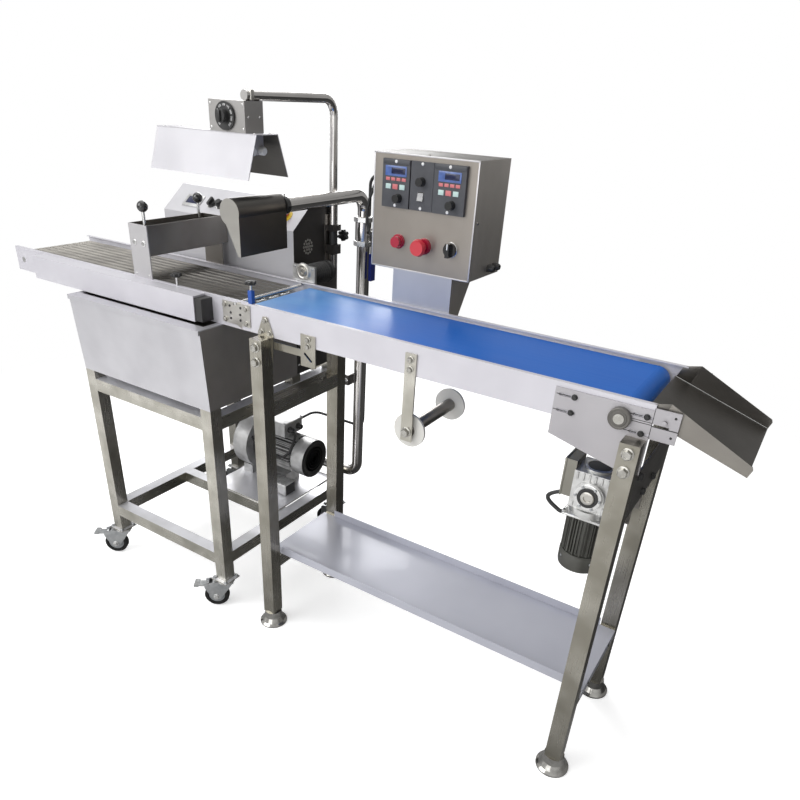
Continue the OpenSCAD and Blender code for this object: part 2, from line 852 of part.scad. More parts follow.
module conveyor_rails() {
    in = rail_y - sheet - seam;
    color("whitesmoke") place() {
        for (s = [-1, 1])
            difference() {
                rail(joint_x, rail_end, s);
                rod_y(tail_x, axis_z, 16 + fit, s * rail_y - 5, s * rail_y + 5);
                rod_y(drive_x, axis_z, 34, s * rail_y - 5, s * rail_y + 5);
            }
        for (x = [130, 420, conv_len - 229]) {
            block([x, -in, axis_z - 8], [x + 24, in, axis_z + 10]);
            for (y = [-90, 90])
                block([x, y - 5, axis_z + 10 + seam], [x + 24, y + 5, belt_top - 4 - seam]);
        }
        block([tail_x + 50, -in, belt_top - 4], [drive_x - 45, in, belt_top - belt_t]);
    }
}

// Plates that carry the drive roller, with tension slots and chute ears
module drive_plates() {
    color("whitesmoke") place() {
        for (s = [-1, 1])
            difference() {
                union() {
                    along_y(s > 0 ? rail_y : -leg_y, s > 0 ? leg_y : -rail_y) plate_shape();
                    rod_y(drive_x, axis_z, 40, s > 0 ? leg_y : -leg_y - 9, s > 0 ? leg_y + 9 : -leg_y);
                }
                rod_y(drive_x, axis_z, 20 + fit, s * leg_y - 14, s * leg_y + 14);
            }
    }
}

module plate_shape() {
    difference() {
        union() {
            polygon([[rail_end - 186, belt_top - 1], [rail_end, belt_top - 1], [rail_end, leg_z - 72],
                [rail_end - 51, leg_z - 72], [rail_end - 186, leg_z - 38]]);
            translate([rail_end, leg_z + 4]) square([46, 60]);
        }
        for (p = [[conv_len - 157, -14], [conv_len - 157, -46], [conv_len - 16, -16], [conv_len - 16, -50]])
            translate([p[0], belt_top + p[1]]) slot(32, 6);
        translate([rail_end, leg_z + 29]) square([30, 5]);
        translate([chute_x, chute_z]) circle(d = 8 + fit, $fn = 24);
    }
}

module blue_belt() {
    h = belt_w / 2;
    x0 = tail_x + seam;
    x1 = drive_x - seam;
    low = belt_top - 2 * loop_r;
    color("royalblue") place() {
        block([x0, -h, belt_top - belt_t], [x1, h, belt_top]);
        block([x0, -h, low], [x1, h, low + belt_t]);
        blue_turn(tail_x, -1);
        blue_turn(drive_x, 1);
    }
}

// Half turn of the belt round a roller
module blue_turn(x, side) {
    along_y(-belt_w / 2, belt_w / 2) intersection() {
        difference() {
            translate([x, axis_z]) circle(r = loop_r, $fn = 48);
            translate([x, axis_z]) circle(r = loop_r - belt_t, $fn = 48);
        }
        translate([side > 0 ? x : x - 50, axis_z - 50]) square([50, 100]);
    }
}

module drive_roller() {
    h = belt_w / 2;
    color("silver") place() {
        rod_y(drive_x, axis_z, 2 * roller_r, -h, h);
        rod_y(drive_x, axis_z, 20, -leg_y - 12, leg_y + 12);
        rod_y(drive_x, axis_z, 2 * chain_r - 9, chain_y - 3, chain_y + 3);
    }
}

module tail_roller() {
    h = belt_w / 2;
    color("silver") place() {
        rod_y(tail_x, axis_z, 2 * roller_r, -h, h);
        rod_y(tail_x, axis_z, 16, -rail_y, rail_y);
    }
}

// Worm gearmotor hung on the leg panel
module gearmotor() {
    x = gear_x;
    z = gear_z;
    color("dimgray") place() translate([0, gear_y, 0]) difference() {
        union() {
            block([x - 40, -38, z - 36], [x + 45, 38, z + 50]);
            rod_y(x, z, 66, -46, 46);
            rod_z(x, 0, 96, z - 52, z - 36);
            rod_z(x, 0, 82, z - 150, z - 52);
            for (a = [0:20:340])
                translate([x, 0, z - 148]) rotate([0, 0, a]) translate([38, -1.5, 0]) cube([8, 3, 92]);
            rod_z(x, 0, 92, z - 190, z - 150);
            block([x - 62, -30, z - 20], [x - 40, 30, z + 66]);
        }
        rod_y(x, z, 18 + fit, -50, 50);
    }
}

module motor_sprocket() {
    color("gray") place() {
        rod_y(gear_x, gear_z, 18, gear_y - 46, chain_y + 4);
        rod_y(gear_x, gear_z, 2 * chain_r - 9, chain_y - 3, chain_y + 3);
    }
}

module drive_chain() {
    dx = drive_x - gear_x;
    dz = axis_z - gear_z;
    len = norm([dx, dz]);
    color("dimgray") place() translate([gear_x, 0, gear_z]) rotate([0, -atan2(dz, dx), 0])
        along_y(chain_y - 3, chain_y + 3) difference() {
            loop(0, len, 0, chain_r + 4);
            loop(0, len, 0, chain_r - 4);
        }
}

// Paper spool on its arm
module spool_arm() {
    y = -rail_y;
    color("silver") place() {
        difference() {
            block([spool_x - 14, y - 4, spool_z - 22], [spool_x + 14, y, belt_top - 10]);
            for (z = [belt_top - 24, belt_top - 46])
                rod_y(spool_x, z, 7, y - 5, y + 1);
        }
        rod_y(spool_x, spool_z, 16, y + seam, y + 216);
        rod_y(spool_x, spool_z, 26, y + 216, y + 222);
    }
}

module spool() {
    y = -rail_y + 5;
    color("silver") place() difference() {
        union() {
            rod_y(spool_x, spool_z, 30, y, y + 206);
            rod_y(spool_x, spool_z, 80, y + 4, y + 10);
            rod_y(spool_x, spool_z, 80, y + 196, y + 202);
        }
        rod_y(spool_x, spool_z, 16 + fit, y - 1, y + 210);
    }
}

// Discharge chute hung between the plate ears
module chute() {
    w = rail_y - 4;
    color("slategray") place() translate([chute_x, 0, chute_z]) rotate([0, chute_tilt, 0]) {
        block([-42, -w, -12], [chute_out, w, -10]);
        for (s = [-1, 1]) {
            along_y(s > 0 ? w - sheet : -w, s > 0 ? w : sheet - w)
                polygon([[-8, seam - 10], [chute_out, seam - 10], [chute_out, 5],
                    [chute_out - 4, 10], [-8, 34]]);
            rod_y(0, 0, 8, s > 0 ? w - 1 : -leg_y - 4, s > 0 ? leg_y + 4 : 1 - w);
        }
    }
}

// Control box on its folded post
module control_post() {
    y = rail_y;
    z1 = ctl_z0;
    y1 = y + sheet + seam;
    color("lightgray") place() {
        block([post_x0, y, rail_low + 12], [post_x1, y + sheet, z1]);
        for (x = [post_x0, post_x1 - sheet])
            along_x(x, x + sheet)
                polygon([[y1, rail_low + 12], [y + 24, rail_low + 12], [y + 112, z1 - sheet - seam],
                    [y1, z1 - sheet - seam]]);
        block([post_x0, y1, z1 - sheet], [post_x1, y + 112, z1]);
    }
}

module control_box() {
    color("lightgray") place() difference() {
        block([ctl_x0, ctl_y0, ctl_z0], [ctl_x0 + box_w, ctl_y0 + box_d, ctl_z0 + box_h]);
        block([ctl_x0 + sheet, ctl_y0 + sheet, ctl_z0 + sheet],
            [ctl_x0 + box_w - sheet, ctl_y0 + box_d - sheet, ctl_z0 + box_h - sheet]);
        on_panel(stop_at) cylinder(d = 22 + fit, h = 12, center = true);
        on_panel(select_at) cylinder(d = 16 + fit, h = 12, center = true);
    }
}

// Frame on the panel face: X right, Y up the panel, Z out of it
module on_panel(p) {
    translate([ctl_x0 + p[0], ctl_y0, ctl_z0 + p[1]]) rotate([90, 0, 0]) children();
}

// Three speed controllers and the pilot lamp
module panel_modules() {
    color("dimgray") place() {
        difference() {
            union() {
                on_panel([30, box_h - 116]) cube([74, 104, 9]);
                on_panel([106, box_h - 116]) cube([60, 104, 7]);
                on_panel([168, box_h - 116]) cube([82, 104, 9]);
            }
            for (k = knob_at)
                on_panel(k) cylinder(d = 6 + fit, h = 30, center = true);
            on_panel(rocker_at) translate([-8, -10, -1]) cube([16, 20, 12]);
        }
        on_panel(rocker_at) rod_x(0, 4, 3, -8.5, 8.5);
        on_panel(lamp_at) cylinder(d = 30, h = 8);
        on_panel(lamp_at) translate([0, 0, 7]) cylinder(d = 25, h = 12);
    }
}

module panel_knob(k, face) {
    color("black") place() on_panel(k) {
        translate([0, 0, 1]) cylinder(d = 6, h = face + 4);
        translate([0, 0, face + gap]) cylinder(d1 = 21, d2 = 18, h = 15);
    }
}

module left_knob() panel_knob(knob_at[0], 9);
module middle_knob() panel_knob(knob_at[1], 7);
module right_knob() panel_knob(knob_at[2], 9);

module rocker() {
    color("black") place() on_panel(rocker_at) {
        difference() {
            along_x(-7.4, 7.4) polygon([[-8.5, 2], [8.5, 2], [8.5, 8], [0, 9.5], [-8.5, 12]]);
            rod_x(0, 4, 3 + fit, -9, 9);
        }
    }
}

module box_stop() {
    color("red") place() on_panel(stop_at) {
        translate([0, 0, -14]) cylinder(d = 22, h = 36);
        translate([0, 0, 21]) cylinder(d1 = 30, d2 = 40, h = 8);
        translate([0, 0, 29]) cylinder(d1 = 40, d2 = 34, h = 9);
    }
}

module box_selector() {
    color("black") place() on_panel(select_at) {
        translate([0, 0, -12]) cylinder(d = 16, h = 14);
        translate([0, 0, gap]) cylinder(d = 32, h = 9);
        translate([-5, -16, 8]) cube([10, 32, 12]);
    }
}

// Cable from the control box down behind the air pipe to the blower
module control_cable() {
    d = 9;
    r = 30;
    x0 = ctl_x0 + 40;
    y0 = ctl_y0 + box_d;
    y1 = pipe_y + pipe_d / 2 + 8 + d / 2;
    z0 = ctl_z0 + 170;
    z1 = blow_z + 85;
    x2 = blow_x + 96;
    y2 = blow_y + 52;
    color("black") place() {
        rod_y(x0, z0, d, y0, y1 - r);
        translate([x0 - r, y1 - r, z0]) elbow(r, d);
        rod_x(y1, z0, d, pipe_x + r, x0 - r);
        translate([pipe_x + r, y1, z0 - r]) rotate([90, -90, 0]) elbow(r, d);
        rod_z(pipe_x, y1, d, z1 + r, z0 - r);
        translate([pipe_x - r, y1, z1 + r]) rotate([-90, 0, 0]) elbow(r, d);
        rod_x(y1, z1, d, x2 + r, pipe_x - r);
        translate([x2 + r, y1 - r, z1]) rotate([0, 0, 90]) elbow(r, d);
        rod_y(x2, z1, d, y2, y1 - r);
    }
}

cart_frame();
caster_fork_fl();
caster_fork_fr();
caster_fork_rl();
caster_fork_rr();
caster_wheel_fl();
caster_wheel_fr();
caster_wheel_rl();
caster_wheel_rr();
brake_pedal_fl();
brake_pedal_fr();
tank_casing();
tank_pan();
chocolate_pump();
cabinet();
cabinet_selector();
cabinet_dial();
cabinet_stop();
mesh_rails();
mesh_belt();
mesh_drive_shaft();
mesh_tail_shaft();
detailer_motor();
detailer_rod();
trough();
gate_front();
gate_rear();
air_nozzle();
air_pipe();
valve_lever();
ring_blower();
blower_impeller();
lamp_collar();
clamp_knob();
lamp_pole();
heater_hood();
heater_dial();
conveyor_legs();
shelf();
conveyor_rails();
drive_plates();
blue_belt();
drive_roller();
tail_roller();
gearmotor();
motor_sprocket();
drive_chain();
spool_arm();
spool();
chute();
control_post();
control_box();
control_cable();
panel_modules();
left_knob();
middle_knob();
right_knob();
rocker();
box_stop();
box_selector();
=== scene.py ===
"""Dress the chocolate enrober: finishes for its solids, fine pieces, studio light and camera."""
from __future__ import annotations

import json
import logging
import math
from dataclasses import dataclass
from enum import Enum
from typing import Callable, Sequence

import bpy
from mathutils import Matrix, Vector

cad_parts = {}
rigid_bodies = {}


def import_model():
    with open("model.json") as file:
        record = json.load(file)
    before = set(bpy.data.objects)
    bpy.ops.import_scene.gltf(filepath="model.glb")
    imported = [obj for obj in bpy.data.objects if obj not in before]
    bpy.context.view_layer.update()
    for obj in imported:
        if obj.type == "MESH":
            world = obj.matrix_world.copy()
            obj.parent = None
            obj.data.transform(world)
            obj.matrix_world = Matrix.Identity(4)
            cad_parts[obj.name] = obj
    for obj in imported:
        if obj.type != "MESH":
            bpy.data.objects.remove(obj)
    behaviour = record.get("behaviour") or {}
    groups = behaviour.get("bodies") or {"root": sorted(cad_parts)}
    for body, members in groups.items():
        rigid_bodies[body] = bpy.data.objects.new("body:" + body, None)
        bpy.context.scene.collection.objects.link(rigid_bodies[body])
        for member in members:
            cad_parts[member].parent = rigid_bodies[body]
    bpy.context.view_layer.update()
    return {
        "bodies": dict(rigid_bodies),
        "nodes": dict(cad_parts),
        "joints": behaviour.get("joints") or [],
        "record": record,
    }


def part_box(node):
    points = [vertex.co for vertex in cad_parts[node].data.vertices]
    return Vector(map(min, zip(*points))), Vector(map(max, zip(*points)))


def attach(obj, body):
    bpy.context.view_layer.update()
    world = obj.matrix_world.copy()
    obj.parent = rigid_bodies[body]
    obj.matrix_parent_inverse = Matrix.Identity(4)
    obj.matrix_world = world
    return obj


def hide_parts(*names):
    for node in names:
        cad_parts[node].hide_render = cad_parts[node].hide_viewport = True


LOG = logging.getLogger("enrober")
FRAME: dict = {}
MM = 0.001
Pair = tuple[float, float]
Place = tuple[float, float, float]
Colour = tuple[float, float, float]
Edges = tuple[float, float, float, float]
Box = tuple[Place, Place]
Rings = Sequence[Pair]
Spot = tuple[Vector, Vector]
Socket = bpy.types.NodeSocket
Piece = bpy.types.Object
UP = Vector((0.0, 0.0, 1.0))
FRONT = Vector((0.0, -1.0, 0.0))
RIGHT = Vector((1.0, 0.0, 0.0))
REAR = Vector((0.0, 1.0, 0.0))
LEFT = Vector((-1.0, 0.0, 0.0))
# A face whose direction has more than this share along an axis faces that way
FLAT = 0.9
# Patterns per metre, and how much they show, in every finish
FINE_SIZE = 420.0
FINE_SHARE = 0.4
SCUFF_SIZE = 34.0
SCUFF_TINT = (0.55, 0.53, 0.5)
# Size and share of the blotches in the painted sheen
CLOUD_SIZE = 11.0
CLOUD_SHARE = 0.35
GLOW_SIZE = 60.0
GLOW_DIM = 0.7
GLOW_ROUGH = 0.15
PATCH_ROUGH = 0.05
RELIEF = 0.5
BLACK_TINT = (0.0, 0.0, 0.0)
WHITE_TINT = (1.0, 1.0, 1.0)


class Grain(Enum):
    """Direction of the brushed lines in a sheet, as stretches along X, Y and Z."""

    ALONG_X = (5.0, 260.0, 260.0)
    ALONG_Y = (260.0, 5.0, 260.0)
    ALONG_Z = (260.0, 260.0, 5.0)
    NONE = (40.0, 40.0, 40.0)


ALONG_X, ALONG_Y, ALONG_Z = Grain.ALONG_X, Grain.ALONG_Y, Grain.ALONG_Z


class Wiring:
    """Adds nodes to one tree and joins their sockets."""

    def __init__(self, tree: bpy.types.NodeTree) -> None:
        """Hold the tree that the nodes go into."""
        self.tree = tree

    def add(self, kind: str, **settings: object) -> bpy.types.Node:
        """Add one node.

        Args:
            kind: Node type name.
            settings: Attributes of the node.

        Returns:
            The new node.
        """
        node = self.tree.nodes.new(kind)
        for key, value in settings.items():
            setattr(node, key, value)
        return node

    def join(self, start: Socket, end: Socket) -> None:
        """Join an output to an input."""
        self.tree.links.new(start, end)

    def feed(self, value: object, end: Socket) -> None:
        """Join a socket to an input, or give the input a value.

        Args:
            value: Socket, number or colour.
            end: The input.
        """
        if isinstance(value, bpy.types.NodeSocket):
            self.join(value, end)
        else:
            end.default_value = (*value, 1.0) if isinstance(value, tuple) else value

    def math(self, operation: str, first: object, second: object) -> Socket:
        """Add a sum of two values or sockets.

        Args:
            operation: Name of the sum, such as MULTIPLY.
            first: Socket or number.
            second: Socket or number.

        Returns:
            The result's socket.
        """
        node = self.add("ShaderNodeMath", operation=operation)
        self.feed(first, node.inputs[0])
        self.feed(second, node.inputs[1])
        return node.outputs[0]

    def mix(self, share: Socket, low: object, high: object, blend: str = "MIX") -> Socket:
        """Blend two colours by a share from 0 to 1.

        Args:
            share: Socket of the share.
            low: Colour or socket at 0.
            high: Colour or socket at 1.
            blend: Name of the way to blend.

        Returns:
            The colour's socket.
        """
        node = self.add("ShaderNodeMix", data_type="RGBA", blend_type=blend)
        self.join(share, node.inputs["Factor"])
        self.feed(low, node.inputs[6])
        self.feed(high, node.inputs[7])
        return node.outputs[2]

    def fade(self, value: Socket, start: Pair, end: Pair, kind: str = "LINEAR") -> Socket:
        """Map a value from one range to another and keep it inside.

        Args:
            value: Socket to map.
            start: Value and result at one end.
            end: Value and result at the other end.
            kind: Name of the way from one end to the other.

        Returns:
            The result's socket.
        """
        node = self.add("ShaderNodeMapRange", interpolation_type=kind)
        node.inputs["From Min"].default_value, node.inputs["To Min"].default_value = start
        node.inputs["From Max"].default_value, node.inputs["To Max"].default_value = end
        self.join(value, node.inputs["Value"])
        return node.outputs["Result"]

    def mask(self, group: bpy.types.NodeTree, place: Socket, size: float) -> Socket:
        """Place a shared group.

        Args:
            group: Group to place.
            place: Socket of the place.
            size: Scale of its pattern.

        Returns:
            The mask's socket.
        """
        node = self.add("ShaderNodeGroup", node_tree=group)
        self.join(place, node.inputs["Vector"])
        node.inputs["Size"].default_value = size
        return node.outputs["Mask"]

    def split(self, place: Socket) -> bpy.types.Node:
        """Take a place apart into X, Y and Z.

        Args:
            place: Socket of the place.

        Returns:
            The node with the three outputs.
        """
        node = self.add("ShaderNodeSeparateXYZ")
        self.join(place, node.inputs[0])
        return node


class SharedEffects:
    """Node groups for the effects that more than one finish uses."""

    def __init__(self) -> None:
        """Build each group once."""
        self.lines = self._noise_group("brushed_lines", 4.0, (0.32, 0.68))
        self.patches = self._noise_group("soft_patches", 2.0, (0.35, 0.68))
        self.grain = self._noise_group("fine_grain", 3.0, (0.2, 0.8))
        self.scuffs = self._noise_group("scuffs", 8.0, (0.56, 0.72))

    @staticmethod
    def _noise_group(name: str, detail: float, span: Pair) -> bpy.types.NodeTree:
        """Build a group that turns a place into a mask.

        Args:
            name: Name of the group.
            detail: Octaves of the noise.
            span: Noise values that become 0 and 1.

        Returns:
            The group.
        """
        group = bpy.data.node_groups.new(name, "ShaderNodeTree")
        group.interface.new_socket("Vector", in_out="INPUT", socket_type="NodeSocketVector")
        group.interface.new_socket("Size", in_out="INPUT", socket_type="NodeSocketFloat")
        group.interface.new_socket("Mask", in_out="OUTPUT", socket_type="NodeSocketFloat")
        wire = Wiring(group)
        start = wire.add("NodeGroupInput")
        end = wire.add("NodeGroupOutput")
        noise = wire.add("ShaderNodeTexNoise")
        noise.inputs["Detail"].default_value = detail
        wire.join(start.outputs["Vector"], noise.inputs["Vector"])
        wire.join(start.outputs["Size"], noise.inputs["Scale"])
        wire.join(wire.fade(noise.outputs["Fac"], (span[0], 0.0), (span[1], 1.0)), end.inputs["Mask"])
        return group


@dataclass(frozen=True)
class Finish:
    """One surface finish with brushed lines or grain, patches and scuffs.

    Attributes:
        name: Material name.
        colour: Main colour, linear.
        shade: Colour of the patches.
        metallic: 1 for bare metal.
        rough: Mean roughness.
        lines: How much the lines change the roughness.
        grain: Direction of the lines.
        bump: Depth of the lines in metres.
        patch_size: Patches per metre.
        scuff: How much the scuffs show.
        coat: Weight of a clear coat.
        specular: Specular level.
        haze: Strength of a painted sheen, a pale tint that fades out along X.
        haze_colour: Colour of that painted sheen.
        haze_run: X where the painted sheen is full and where it ends, in metres.
    """

    name: str
    colour: Colour
    shade: Colour
    metallic: float = 0.0
    rough: float = 0.45
    lines: float = 0.1
    grain: Grain = Grain.NONE
    bump: float = 0.00005
    patch_size: float = 9.0
    scuff: float = 0.0
    coat: float = 0.0
    specular: float = 0.5
    haze: float = 0.0
    haze_colour: Colour = WHITE_TINT
    haze_run: Pair = (0.0, 1.0)

    def material(self, effects: SharedEffects) -> bpy.types.Material:
        """Build the material, or give the one already built.

        Args:
            effects: The shared groups.

        Returns:
            The material.
        """
        found = bpy.data.materials.get(self.name)
        if found is not None:
            return found
        made = bpy.data.materials.new(self.name)
        made.use_nodes = True
        wire = Wiring(made.node_tree)
        shader = made.node_tree.nodes["Principled BSDF"]
        place = wire.add("ShaderNodeTexCoord").outputs["Object"]
        stretch = wire.add("ShaderNodeMapping")
        stretch.inputs["Scale"].default_value = self.grain.value
        wire.join(place, stretch.inputs["Vector"])
        line = wire.mask(effects.lines, stretch.outputs["Vector"], 1.0)
        patch = wire.mask(effects.patches, place, self.patch_size)
        wire.join(self._tint(wire, effects, place, patch), shader.inputs["Base Color"])
        rough = wire.math("ADD", wire.math("MULTIPLY", line, self.lines), self.rough - self.lines / 2)
        rough = wire.math("ADD", rough, wire.math("MULTIPLY", patch, PATCH_ROUGH))
        wire.join(rough, shader.inputs["Roughness"])
        relief = wire.add("ShaderNodeBump")
        relief.inputs["Strength"].default_value = RELIEF
        relief.inputs["Distance"].default_value = self.bump
        fine = wire.mask(effects.grain, place, FINE_SIZE)
        wire.join(wire.math("ADD", line, wire.math("MULTIPLY", fine, FINE_SHARE)), relief.inputs["Height"])
        wire.join(relief.outputs["Normal"], shader.inputs["Normal"])
        shader.inputs["Metallic"].default_value = self.metallic
        shader.inputs["Coat Weight"].default_value = self.coat
        shader.inputs["Specular IOR Level"].default_value = self.specular
        return made

    def _tint(self, wire: Wiring, effects: SharedEffects, place: Socket, patch: Socket) -> Socket:
        """Blend the two colours and lay the painted sheen and the scuffs over them.

        Args:
            wire: Wiring of the material.
            effects: The shared groups.
            place: Socket of the place.
            patch: Socket of the patches' mask.

        Returns:
            The colour's socket.
        """
        colour = wire.mix(patch, self.colour, self.shade)
        # Painted sheen: a pale tint with blotches that fades out along X, laid over the colour in place of
        # light glancing off.
        if self.haze > 0.0:
            full, end = self.haze_run
            painted_sheen = wire.fade(wire.split(place).outputs["X"], (full, self.haze), (end, 0.0), "SMOOTHSTEP")
            cloud = wire.math("MULTIPLY", wire.mask(effects.patches, place, CLOUD_SIZE), CLOUD_SHARE)
            painted_sheen = wire.math("MULTIPLY", painted_sheen, wire.math("ADD", cloud, 1.0 - CLOUD_SHARE))
            colour = wire.mix(painted_sheen, colour, self.haze_colour)
        if self.scuff > 0.0:
            mark = wire.math("MULTIPLY", wire.mask(effects.scuffs, place, SCUFF_SIZE), self.scuff)
            colour = wire.mix(mark, colour, SCUFF_TINT, "MULTIPLY")
        return colour


@dataclass(frozen=True)
class Glow:
    """A lit window, such as a display.

    Attributes:
        name: Material name.
        colour: Colour of the window.
        strength: Light that it gives.
    """

    name: str
    colour: Colour
    strength: float

    def material(self, effects: SharedEffects) -> bpy.types.Material:
        """Build the material, or give the one already built.

        Args:
            effects: The shared groups.

        Returns:
            The material.
        """
        found = bpy.data.materials.get(self.name)
        if found is not None:
            return found
        made = bpy.data.materials.new(self.name)
        made.use_nodes = True
        wire = Wiring(made.node_tree)
        shader = made.node_tree.nodes["Principled BSDF"]
        place = wire.add("ShaderNodeTexCoord").outputs["Object"]
        dim = tuple(GLOW_DIM * part for part in self.colour)
        tint = wire.mix(wire.mask(effects.patches, place, GLOW_SIZE), self.colour, dim)
        wire.join(tint, shader.inputs["Base Color"])
        wire.join(tint, shader.inputs["Emission Color"])
        shader.inputs["Emission Strength"].default_value = self.strength
        shader.inputs["Roughness"].default_value = GLOW_ROUGH
        return made


Surface = Finish | Glow


def brushed(
    name: str, colour: Colour, shade: Colour, rough: float, lines: float, size: float
) -> list[Finish]:
    """Give one bare steel with its lines along X, Y and Z.

    Args:
        name: Start of the three names.
        colour: Main colour, linear.
        shade: Colour of the patches.
        rough: Mean roughness.
        lines: How much the lines change the roughness.
        size: Patches per metre.

    Returns:
        The three finishes.
    """
    return [
        Finish(f"{name}_along_{axis}", colour, shade, 1.0, rough, lines, grain, patch_size=size)
        for axis, grain in zip("xyz", (ALONG_X, ALONG_Y, ALONG_Z))
    ]


def scaled(rings: Rings, wide: float = MM, tall: float = MM) -> list[Pair]:
    """Scale the radius and the height of each ring."""
    return [(radius * wide, height * tall) for radius, height in rings]


# The tube steel's strong dark patches paint blotchy mirrored reflections into its colour.
TUBE_X, TUBE_Y, TUBE_Z = brushed("tube_steel", (0.555, 0.537, 0.484), (0.354, 0.34, 0.295), 0.26, 0.05, 13.0)
DARK_X, DARK_Y, DARK_Z = brushed("dark_sheet", (0.3, 0.285, 0.265), (0.245, 0.23, 0.215), 0.32, 0.06, 9.0)
# Lighter copy of the tube steel for faces that look up: a painted highlight from the light above.
TUBE_TOP_PAINTED_HIGHLIGHT = Finish("tube_upper_face_painted_highlight", (0.78, 0.78, 0.82), (0.58, 0.58, 0.6), 0.45, 0.3, 0.05, patch_size=9.0)
SATIN_X = Finish("satin_sheet_along_x", (0.56, 0.555, 0.58), (0.5, 0.495, 0.52), 0.7, 0.42, 0.05, ALONG_X)
SATIN_Z = Finish("satin_sheet_along_z", (0.56, 0.55, 0.56), (0.5, 0.49, 0.5), 0.7, 0.42, 0.05, ALONG_Z)
# Lighter copy of the chute's steel for the front wall's outer face: painted light.
CHUTE_FACE_PAINTED_LIGHT = Finish("chute_face_painted_light", (0.27, 0.255, 0.23), (0.23, 0.215, 0.195), 0.9, 0.36, 0.06, ALONG_X)
# A darker copy of the tank's satin steel: painted shade on the right wall, turned from the light.
SIDE_STEEL_PAINTED_SHADE = Finish("side_sheet_painted_shade", (0.45, 0.425, 0.41), (0.387, 0.366, 0.351), 0.9, 0.4, 0.06, ALONG_Y)
BRACKET = Finish("bracket_plate", (0.56, 0.545, 0.51), (0.48, 0.465, 0.43), 1.0, 0.3, 0.08, ALONG_X)
HOOD_WHITE = Finish("hood_sheet", (0.488, 0.482, 0.506), (0.451, 0.445, 0.47), 0.3, 0.45, 0.05, ALONG_X)
PLATE_LILAC = Finish("drive_plate_sheet", (0.423, 0.41, 0.427), (0.378, 0.365, 0.383), 0.35, 0.42, 0.05,
                     ALONG_X)
# Near black sheet: painted shade on the cabinet's right wall, and the colour of the pipe's bracket.
SIDE_SHADE_NEAR_BLACK = Finish("near_black_and_painted_shade", (0.108, 0.102, 0.098), (0.09, 0.085, 0.081), 0.9, 0.4, 0.06, ALONG_Z)
# Dark steel for the chute and its wings: painted shade.
CHUTE_STEEL_PAINTED_SHADE = Finish("chute_sheet_painted_shade", (0.143, 0.135, 0.124), (0.116, 0.11, 0.101), 1.0, 0.34, 0.06, ALONG_X)
LEG_Z = Finish("leg_steel", (0.4, 0.382, 0.335), (0.27, 0.255, 0.215), 1.0, 0.26, 0.05, ALONG_Z,
               patch_size=11.0)
BOLT_STEEL = Finish("bolt_steel", (0.46, 0.45, 0.42), (0.36, 0.35, 0.32), 1.0, 0.24, 0.06, patch_size=60.0)
CABINET_WHITE = Finish("cabinet_sheet", (0.574, 0.57, 0.592), (0.531, 0.526, 0.548), 0.4, 0.42, 0.05, ALONG_X)
NOZZLE = Finish("nozzle_sheet", (0.143, 0.136, 0.127), (0.119, 0.114, 0.106), 1.0, 0.3, 0.06, ALONG_Y)
THERMO_STEEL = Finish("thermostat_sheet", (0.4, 0.39, 0.38), (0.34, 0.33, 0.32), 0.8, 0.36, 0.05, ALONG_X)
# Dark steel: painted shade on the control box's top and inside the heater hood, and the bearing covers'
# colour.
DARK_STEEL_AND_SHADE = Finish("dark_steel_and_painted_shade", (0.13, 0.124, 0.114), (0.11, 0.104, 0.096), 0.5, 0.46, 0.05, ALONG_X)
OLIVE_BOX = Finish("terminal_box", (0.27, 0.26, 0.225), (0.22, 0.212, 0.185), 0.8, 0.36, 0.06, ALONG_Z)
BLOWER = Finish("blower_cast", (0.58, 0.58, 0.58), (0.42, 0.42, 0.42), 0.6, 0.38, 0.1, bump=0.0002,
                patch_size=30.0)
# Near black for the gaps between fins: painted shade.
FIN_GAP_SHADE = Finish("fin_gap_painted_shade", (0.06, 0.06, 0.06), (0.04, 0.04, 0.04), 0.4, 0.5, 0.1, patch_size=30.0)
FOOT_STEEL = Finish("foot_steel", (0.5, 0.49, 0.465), (0.36, 0.35, 0.33), 1.0, 0.14, 0.06, patch_size=60.0)
RAIL_WHITE = Finish("rail_sheet", (0.6, 0.59, 0.63), (0.55, 0.54, 0.58), 0.35, 0.42, 0.05, ALONG_X)
POLISHED = Finish("polished_pipe", (0.74, 0.72, 0.7), (0.64, 0.62, 0.6), 1.0, 0.11, 0.04)
BRIGHT = Finish("bright_steel", (0.72, 0.72, 0.71), (0.62, 0.62, 0.61), 1.0, 0.22, 0.08)
ZINC = Finish("zinc_plate", (0.5, 0.51, 0.515), (0.36, 0.37, 0.38), 1.0, 0.32, 0.1, patch_size=60.0)
WIRE = Finish("woven_wire", (0.291, 0.277, 0.254), (0.218, 0.208, 0.193), 1.0, 0.36, 0.08)
CAST = Finish("cast_aluminium", (0.68, 0.68, 0.67), (0.54, 0.54, 0.53), 0.9, 0.36, 0.1, bump=0.0002,
              patch_size=40.0)
MOTOR = Finish("motor_paint", (0.085, 0.085, 0.075), (0.065, 0.064, 0.057), 0.2, 0.42, 0.1, bump=0.0001,
               patch_size=30.0, scuff=0.3)
PALE_DISC = Finish("pale_disc", (0.62, 0.61, 0.58), (0.56, 0.55, 0.52), 0.0, 0.34, 0.06, coat=0.2)
